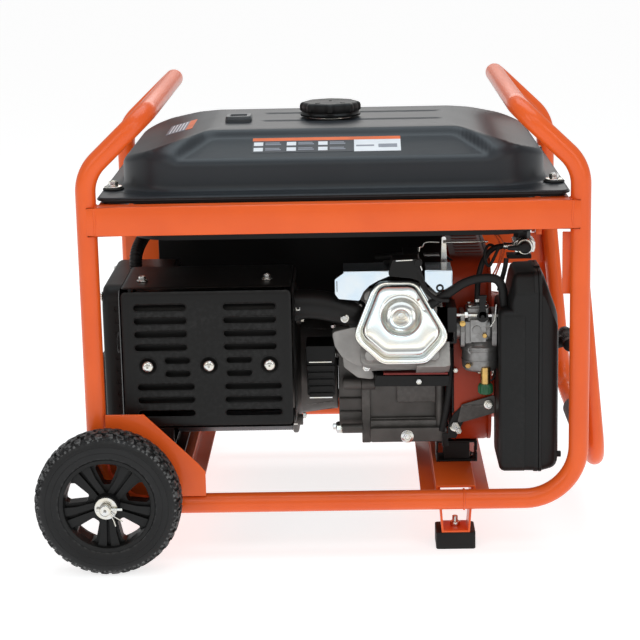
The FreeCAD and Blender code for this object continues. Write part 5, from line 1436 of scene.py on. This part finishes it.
def governor():
    """Upright arm on its shaft, the hooked rod to the throttle and the fine spring along it."""
    arm = Piece()
    arm.slab(rounded_polygon([(149.4, 380.4), (160.8, 380.4), (159, 410), (158, 435.6), (152, 435.6),
                              (151, 410)], 2.6, 5), (108.2, 109.9))
    arm.lathe([(0, 5), (0, 8), (3, 8), (3, 5)], (155, 110, 386), (0, -1, 0), 28, joined=True)
    arm.build("governor_strip", ZINC, body="governor_arm", replaces=["governor_arm"], bevel=0.35)
    refined("governor_link", ZINC, 0.2)
    rod = Piece()
    rod.tube(softened([(119.6, 100, 416), (120, 100, 423), (124.6, 100, 422), (127, 100, 430),
                       (148, 100, 429)], 2), 1.2, 10)
    rod.build("governor_hook", ZINC, bevel=0)
    spring = Piece()
    turns = 16
    points = []
    for k in range(turns * 10 + 1):
        angle = 2 * math.pi * k / 10
        points.append((126 + 22 * k / (turns * 10), 103 + 2.6 * math.cos(angle),
                       410 + 2.6 * math.sin(angle)))
    spring.tube(points, 0.45, 6)
    spring.build("governor_spring", STEEL, bevel=0)


def fuel_parts():
    """Fuel valve with its bowl and lever, hoses with clamps, breather, wires under the tank."""
    valve = Piece()
    valve.slab(rounded_polygon([(253, 418.2), (279, 418.2), (281, 424), (281, 433), (276, 436), (256, 436),
                                (251, 433), (251, 424)], 2),
               (70, 108))
    valve.lathe([(0, 8), (4, 8), (4, 7), (16, 7), (16, 0.4), (0, 0.4)], (264, 90, 436), (0, 0, 1), 32,
                joined=True)
    valve.lathe([(-12, 4.6), (-2, 4.6), (-2, 5.6), (14, 5.6)], (252, 90, 424), (1, 0, 0), 24)
    valve.lathe([(0, 12), (3, 12), (3, 11), (6, 11)], (266, 70, 427), (0, -1, 0), 36)
    valve.build("fuel_valve_body", ZINC, replaces=["fuel_valve"], bevel=0.8)
    nut = Piece()
    nut.hexagon((264, 90, 437), (264, 90, 446), 21)
    nut.lathe([(412.5, 0.5), (412.5, 7), (413.4, 9), (415, 10), (418.4, 10)], (264, 90, 0), (0, 0, 1), 36)
    nut.block((243, 277), (84, 104), (406.4, 412.4))
    nut.build("fuel_valve_bowl", BLACK_PLASTIC, bevel=0.5)
    lever = Piece()
    lever.lathe([(0, 8.5), (6, 8.5), (8.2, 7.6), (9, 6), (9, 0.4)], (266, 63.5, 427), (0, -1, 0), 36)
    lever.slab(rounded_polygon([(241.2, 424.6), (262, 422.4), (270, 422.4), (270, 431.6), (262, 431.6),
                                (241.2, 429.6)], 2.2), (54.8, 59))
    lever.slab(rounded_polygon([(241.2, 425.6), (258, 424.4), (258, 429.6), (241.2, 428.6)], 1.6),
               (52.8, 55.4))
    lever.build("fuel_tap", BLACK_PLASTIC, body="fuel_valve_lever", replaces=["fuel_valve_lever"],
                bevel=0.5)
    hoses = Piece()
    hoses.tube(softened([(239.4, 90, 424), (222, 88, 422), (207, 80, 404), (200, 68, 378),
                         (199, 62, 345.8)]), 4, 24)
    hoses.tube(softened([(132, 36, 353), (146, 36, 362), (160, 36, 370), (180, 38, 384), (208, 40, 390),
                         (232, 40, 386), (236, 40, 345)]), 6.2, 28)
    hoses.tube(softened([(232, 96, 418), (216, 84, 430), (209, 76, 412), (216, 72, 396), (222, 70, 408),
                         (230, 74, 424)]), 2.2, 14)
    hoses.tube(softened([(240, 62, 412), (238, 60, 398), (234, 60, 384), (230, 62, 366)]), 3.4, 18)
    hoses.build("hoses", RUBBER, replaces=["engine_hoses"], bevel=0, smooth=60)
    clamps = Piece()
    for place, along in (((238, 90, 424), (1, 0, 0)), ((199.4, 63, 350), (0, 0.1, 1))):
        clamps.lathe([(0, 4.2), (0, 5), (4, 5), (4, 4.2)], place, along, 28, joined=True)
    clamps.build("hose_clamps", ZINC, bevel=0.2)
    wires = Piece()
    wires.tube(softened([(229, 100, 440), (235, 92, 434), (240, 90, 424), (238, 90, 412), (233, 84, 400),
                         (226, 80, 384)]), 1.2, 10)
    wires.tube(softened([(225, 104, 440), (231, 96, 432), (236, 92, 421), (234, 90, 410), (230, 84, 398),
                         (222, 80, 384)]), 1.2, 10)
    wires.build("gauge_wires", WIRE_ORANGE, bevel=0)
    dark = Piece()
    dark.tube(softened([(209, 37, 240), (222, 36, 244), (224, 60, 260), (214, 100, 300), (190, 120, 380),
                        (150, 128, 410)]), 1.6, 10)
    dark.build("cut_off_wire", RUBBER, bevel=0)


# ------------------------------------------------------------------ mounts, handle, frame furniture

def mounts():
    """Channels, waisted rubber blocks and strut of the engine mounts, their nuts, and the feet."""
    refined("engine_mounts", BLACK_PAINT, 0.9, 3)
    refined("rubber_mounts", RUBBER, 1.2, 3)
    strut = Piece()
    strut.slab(rounded_polygon([(172, 166), (184, 168), (226, 180), (226, 207), (178, 193)], 3),
               (89.4, 91.9))
    strut.block((178, 224), (88.2, 91), (190, 192.4))
    strut.build("air_cleaner_strut", CAST, bevel=0.5)
    nuts = Piece()
    for y in (147, 331):
        nuts.bolt((190, y, 99), (0, 0, 1), 10, washer=8)
    nuts.build("mount_nuts", ZINC, bevel=0.25)
    refined("rubber_feet", RUBBER, 1.2, 3)


def carrying_handle():
    """Bent tube handle with its ribbed grip sleeve."""
    refined("handle", ORANGE, 0.3)
    node_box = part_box("handle_grip")
    refined("handle_grip", GRIP, 0.5)
    low, high = [(Vector(corner) - Vector((MID_X, MID_Y, 0))) / MM for corner in node_box]
    middle = (low + high) / 2
    radius = (high.x - low.x) / 2
    rings = Piece()
    start, end = low.y + 8, high.y - 8
    count = 34
    for k in range(count):
        y = start + (end - start) * (k + 0.5) / count
        rings.lathe([(-1.5, radius - 0.6), (-0.9, radius + 0.02), (0.9, radius + 0.02),
                     (1.5, radius - 0.6)],
                    (middle.x, y, middle.z), (0, 1, 0), 40, joined=True)
    rings.build("grip_ribs", GRIP, body="handle", bevel=0)


def conduit():
    """Corrugated loom from the end cover to the rear panel, with rings."""
    route = softened([(-300, 250, 368), (-300, 252, 392), (-290, 290, 412), (-272, 350, 420),
                      (-263, 400, 420), (-263, 424.5, 420)], 4)
    loom = Piece()
    rings = []
    side = None
    travelled = 0
    wanted = 0
    points = []
    for a, b in zip(route, route[1:]):
        step = (b - a).length
        while wanted <= travelled + step:
            points.append((a.lerp(b, (wanted - travelled) / step), (b - a).normalized()))
            wanted += 1.1
        travelled += step
    for k, (place, along) in enumerate(points):
        if side is None:
            side = along.orthogonal().normalized()
        side = (side - along * side.dot(along)).normalized()
        other = along.cross(side)
        radius = (9.8, 9.8, 8.9, 8.9)[k % 4]
        rings.append([place + radius * (math.cos(2 * math.pi * m / 28) * side
                                        + math.sin(2 * math.pi * m / 28) * other)
                      for m in range(28)])
    loom.add(rings)
    loom.build("corrugated_loom", BLACK_PLASTIC, replaces=["wiring_conduit"], bevel=0, smooth=50)


def rear_panel():
    """Outlet panel seen from behind: framed face, round outlets with covers, breaker and switch."""
    box = Piece()
    box.slab(rounded_outline((-283, 175), (170, 440), 12), (425, 479.6))
    box.slab(rounded_outline((-303, 318), (-272, 342), 3), (483.5, 485.9))
    box.block((-278.6, -272), (478, 485.9), (318, 342))
    inside = Piece()
    inside.slab(rounded_outline((-277, 181), (164, 434), 8), (427, 474))
    box.build("panel_case", BLACK_PAINT, replaces=["control_panel"], bevel=0.9, segments=3, carve=inside)
    trim = Piece()
    for x0, x1, z0, z1 in ((-271, 11, 196, 372), (19, 158, 196, 372), (-271, 158, 384, 430)):
        outer = rounded_outline((x0, z0), (x1, z1), 7)
        inner = rounded_outline((x0 + 1.6, z0 + 1.6), (x1 - 1.6, z1 - 1.6), 5.6)
        trim.add([[(x, 479.8, z) for x, z in outer], [(x, 480.4, z) for x, z in outer],
                  [(x, 480.4, z) for x, z in inner],
                  [(x, 479.8, z) for x, z in inner]], joined=True)
    trim.build("panel_borders", LABEL_GREY, bevel=0)
    outlets = Piece()
    slots = Piece()
    earths = Piece()
    for x, z, radius in [(x, 240, 24) for x in (-240, -168, -96, -24)] + [(x, 330, 30) for x in (-220,
                                                                                                 -130)]:
        outlets.lathe([(480.2, 2), (480.2, radius - 0.4), (482, radius), (487.4, radius - 0.6),
                       (489, radius - 2.6), (489, radius - 5),
                       (486, radius - 6.2), (484.6, radius - 7), (484.6, 2)], (x, 0, z), (0, 1, 0), 56,
                      joined=True)
        outlets.lathe([(480.2, 0.5), (487, 0.5), (487, radius - 9), (486, radius - 8), (480.2, radius - 8)],
                      (x, 0, z), (0, 1, 0), 48,
                      joined=True)
        if radius < 30:
            for dx, dz, w, h in ((-5.4, 3, 1, 4.4), (5.4, 3, 1, 3.6)):
                slots.slab(rounded_outline((x + dx - w, z + dz - h), (x + dx + w, z + dz + h), 0.9, 3),
                           (483, 490))
            slots.rod((x, 483, z - 7), (x, 490, z - 7), 2.4, sides=20)
        else:
            for k in range(4):
                angle = math.radians(45 + 90 * k)
                place = (x + 12 * math.cos(angle), z + 12 * math.sin(angle))
                slots.slab(rounded_outline((place[0] - 1.2, place[1] - 3.6),
                                           (place[0] + 1.2, place[1] + 3.6), 1.1, 3), (483, 490))
        for k in range(2):
            angle = math.pi * k
            earths.lathe([(0, 2.4), (1.2, 2.2), (1.8, 1.2), (1.8, 0.2)],
                         (x + (radius - 2.8) * math.cos(angle), 488.4, z), (0, 1, 0), 16)
    outlets.build("outlet_faces", BLACK_PLASTIC, replaces=["panel_sockets"], bevel=0, carve=slots)
    for x, z in ((-274, 186), (161, 186), (-274, 430), (161, 430), (-62, 186), (-62, 430)):
        earths.lathe([(0, 4.6), (1.2, 4.4), (2.2, 3.0), (2.2, 0.3)], (x, 479.6, z), (0, 1, 0), 24)
    earths.lathe([(0, 8), (0.8, 8), (0.8, 0.4)], (46, 479.8, 300), (0, 1, 0), 32)
    earths.hexagon((46, 480, 300), (46, 486, 300), 10)
    earths.build("panel_screws", ZINC, bevel=0.15)
    refined("breaker_lever", BLACK_PLASTIC, 0.5)
    refined("engine_switch", SIGNAL_RED, 0.6)
    bezel = Piece()
    for x0, x1, z0, z1 in ((0.4, 29.6, 388, 424), (75, 105, 384, 428)):
        outer = rounded_outline((x0, z0), (x1, z1), 3)
        inner = rounded_outline((x0 + 3, z0 + 3), (x1 - 3, z1 - 3), 1.6)
        bezel.add([[(x, 479.8, z) for x, z in outer], [(x, 482.2, z) for x, z in outer],
                   [(x, 482.2, z) for x, z in inner],
                   [(x, 479.8, z) for x, z in inner]], joined=True)
    bezel.build("switch_bezels", BEZEL, bevel=0.4)


# ------------------------------------------------------------------ floor, light and camera

def studio():
    floor_mesh = bpy.data.meshes.new("floor")
    floor_mesh.from_pydata([(-30, -12, 0), (30, -12, 0), (30, 60, 0), (-30, 60, 0)], [], [(0, 1, 2, 3)])
    floor = bpy.data.objects.new("floor", floor_mesh)
    bpy.context.scene.collection.objects.link(floor)
    white = bpy.data.materials.new("floor white")
    white.use_nodes = True
    sheen = white.node_tree.nodes["Principled BSDF"]
    sheen.inputs["Base Color"].default_value = (0.55, 0.55, 0.55, 1)
    sheen.inputs["Roughness"].default_value = 0.9
    sheen.inputs["Specular IOR Level"].default_value = 0.1
    sheen.inputs["Emission Color"].default_value = (1, 1, 1, 1)
    sheen.inputs["Emission Strength"].default_value = 0.74
    floor_mesh.materials.append(white)

    world = bpy.data.worlds.new("studio")
    world.use_nodes = True
    world.node_tree.nodes["Background"].inputs["Color"].default_value = (1, 1, 1, 1)
    world.node_tree.nodes["Background"].inputs["Strength"].default_value = 0.42
    bpy.context.scene.world = world

    cool, warm, plain = (0.80, 0.93, 1.0), (1.0, 0.92, 0.80), (1.0, 0.98, 0.95)
    for name, place, aim, size, power, colour in (
            ("overhead", (0.1, 0.1, 2.6), (0, 0, 0.4), (2.4, 1.6), 30, cool),
            ("front high", (0.2, -2.6, 2.7), (0, 0, 0.3), (2.6, 0.8), 11, cool),
            ("front low", (0.2, -2.9, 1.7), (0, 0, 0.3), (2.6, 0.5), 6, warm),
            ("front left", (-2.1, -2.6, 1.7), (0, 0, 0.3), (1.2, 1.6), 11, plain),
            ("front right", (2.0, -2.4, 1.3), (0, 0, 0.3), (1.0, 1.5), 9, plain),
            ("rear", (0.3, 2.8, 1.8), (0, 0, 0.4), (2.0, 1.2), 14, plain)):
        lamp = bpy.data.lights.new(name, "AREA")
        lamp.shape = "RECTANGLE"
        lamp.size, lamp.size_y = size
        lamp.energy = power
        lamp.color = colour
        holder = bpy.data.objects.new(name, lamp)
        holder.location = place
        holder.rotation_euler = (Vector(aim) - Vector(place)).to_track_quat("-Z", "Y").to_euler()
        bpy.context.scene.collection.objects.link(holder)
    bpy.context.scene.view_settings.view_transform = "Standard"


def camera():
    yaw, pitch, roll = -0.01967, 0.22729, -0.02087
    ahead = Vector((math.sin(yaw) * math.cos(pitch), math.cos(yaw) * math.cos(pitch), -math.sin(pitch)))
    right = Vector((math.cos(yaw), -math.sin(yaw), 0))
    up = right.cross(ahead)
    across = math.cos(roll) * right + math.sin(roll) * up
    upright = -math.sin(roll) * right + math.cos(roll) * up
    lens = bpy.data.cameras.new("camera")
    lens.lens, lens.sensor_width = 109.9, 36
    eye = bpy.data.objects.new("camera", lens)
    turn = Matrix((across, upright, -ahead)).transposed().to_4x4()
    eye.matrix_world = Matrix.Translation(DATUM @ Vector((30.72, -2619.03, 947.88))) @ turn
    bpy.context.scene.collection.objects.link(eye)
    bpy.context.scene.camera = eye


camera()
studio()
tube_frame()
tank()
cap_and_gauge()
stickers()
tank_bolts()
wheels()
engine_castings()
cylinder_and_head()
valve_cover()
deflectors()
exhaust_parts()
alternator()
fan_shroud()
recoil_starter()
air_cleaner()
carburettor()
governor()
fuel_parts()
mounts()
carrying_handle()
conduit()
rear_panel()
refined("frame_fasteners", ZINC, 0.25)
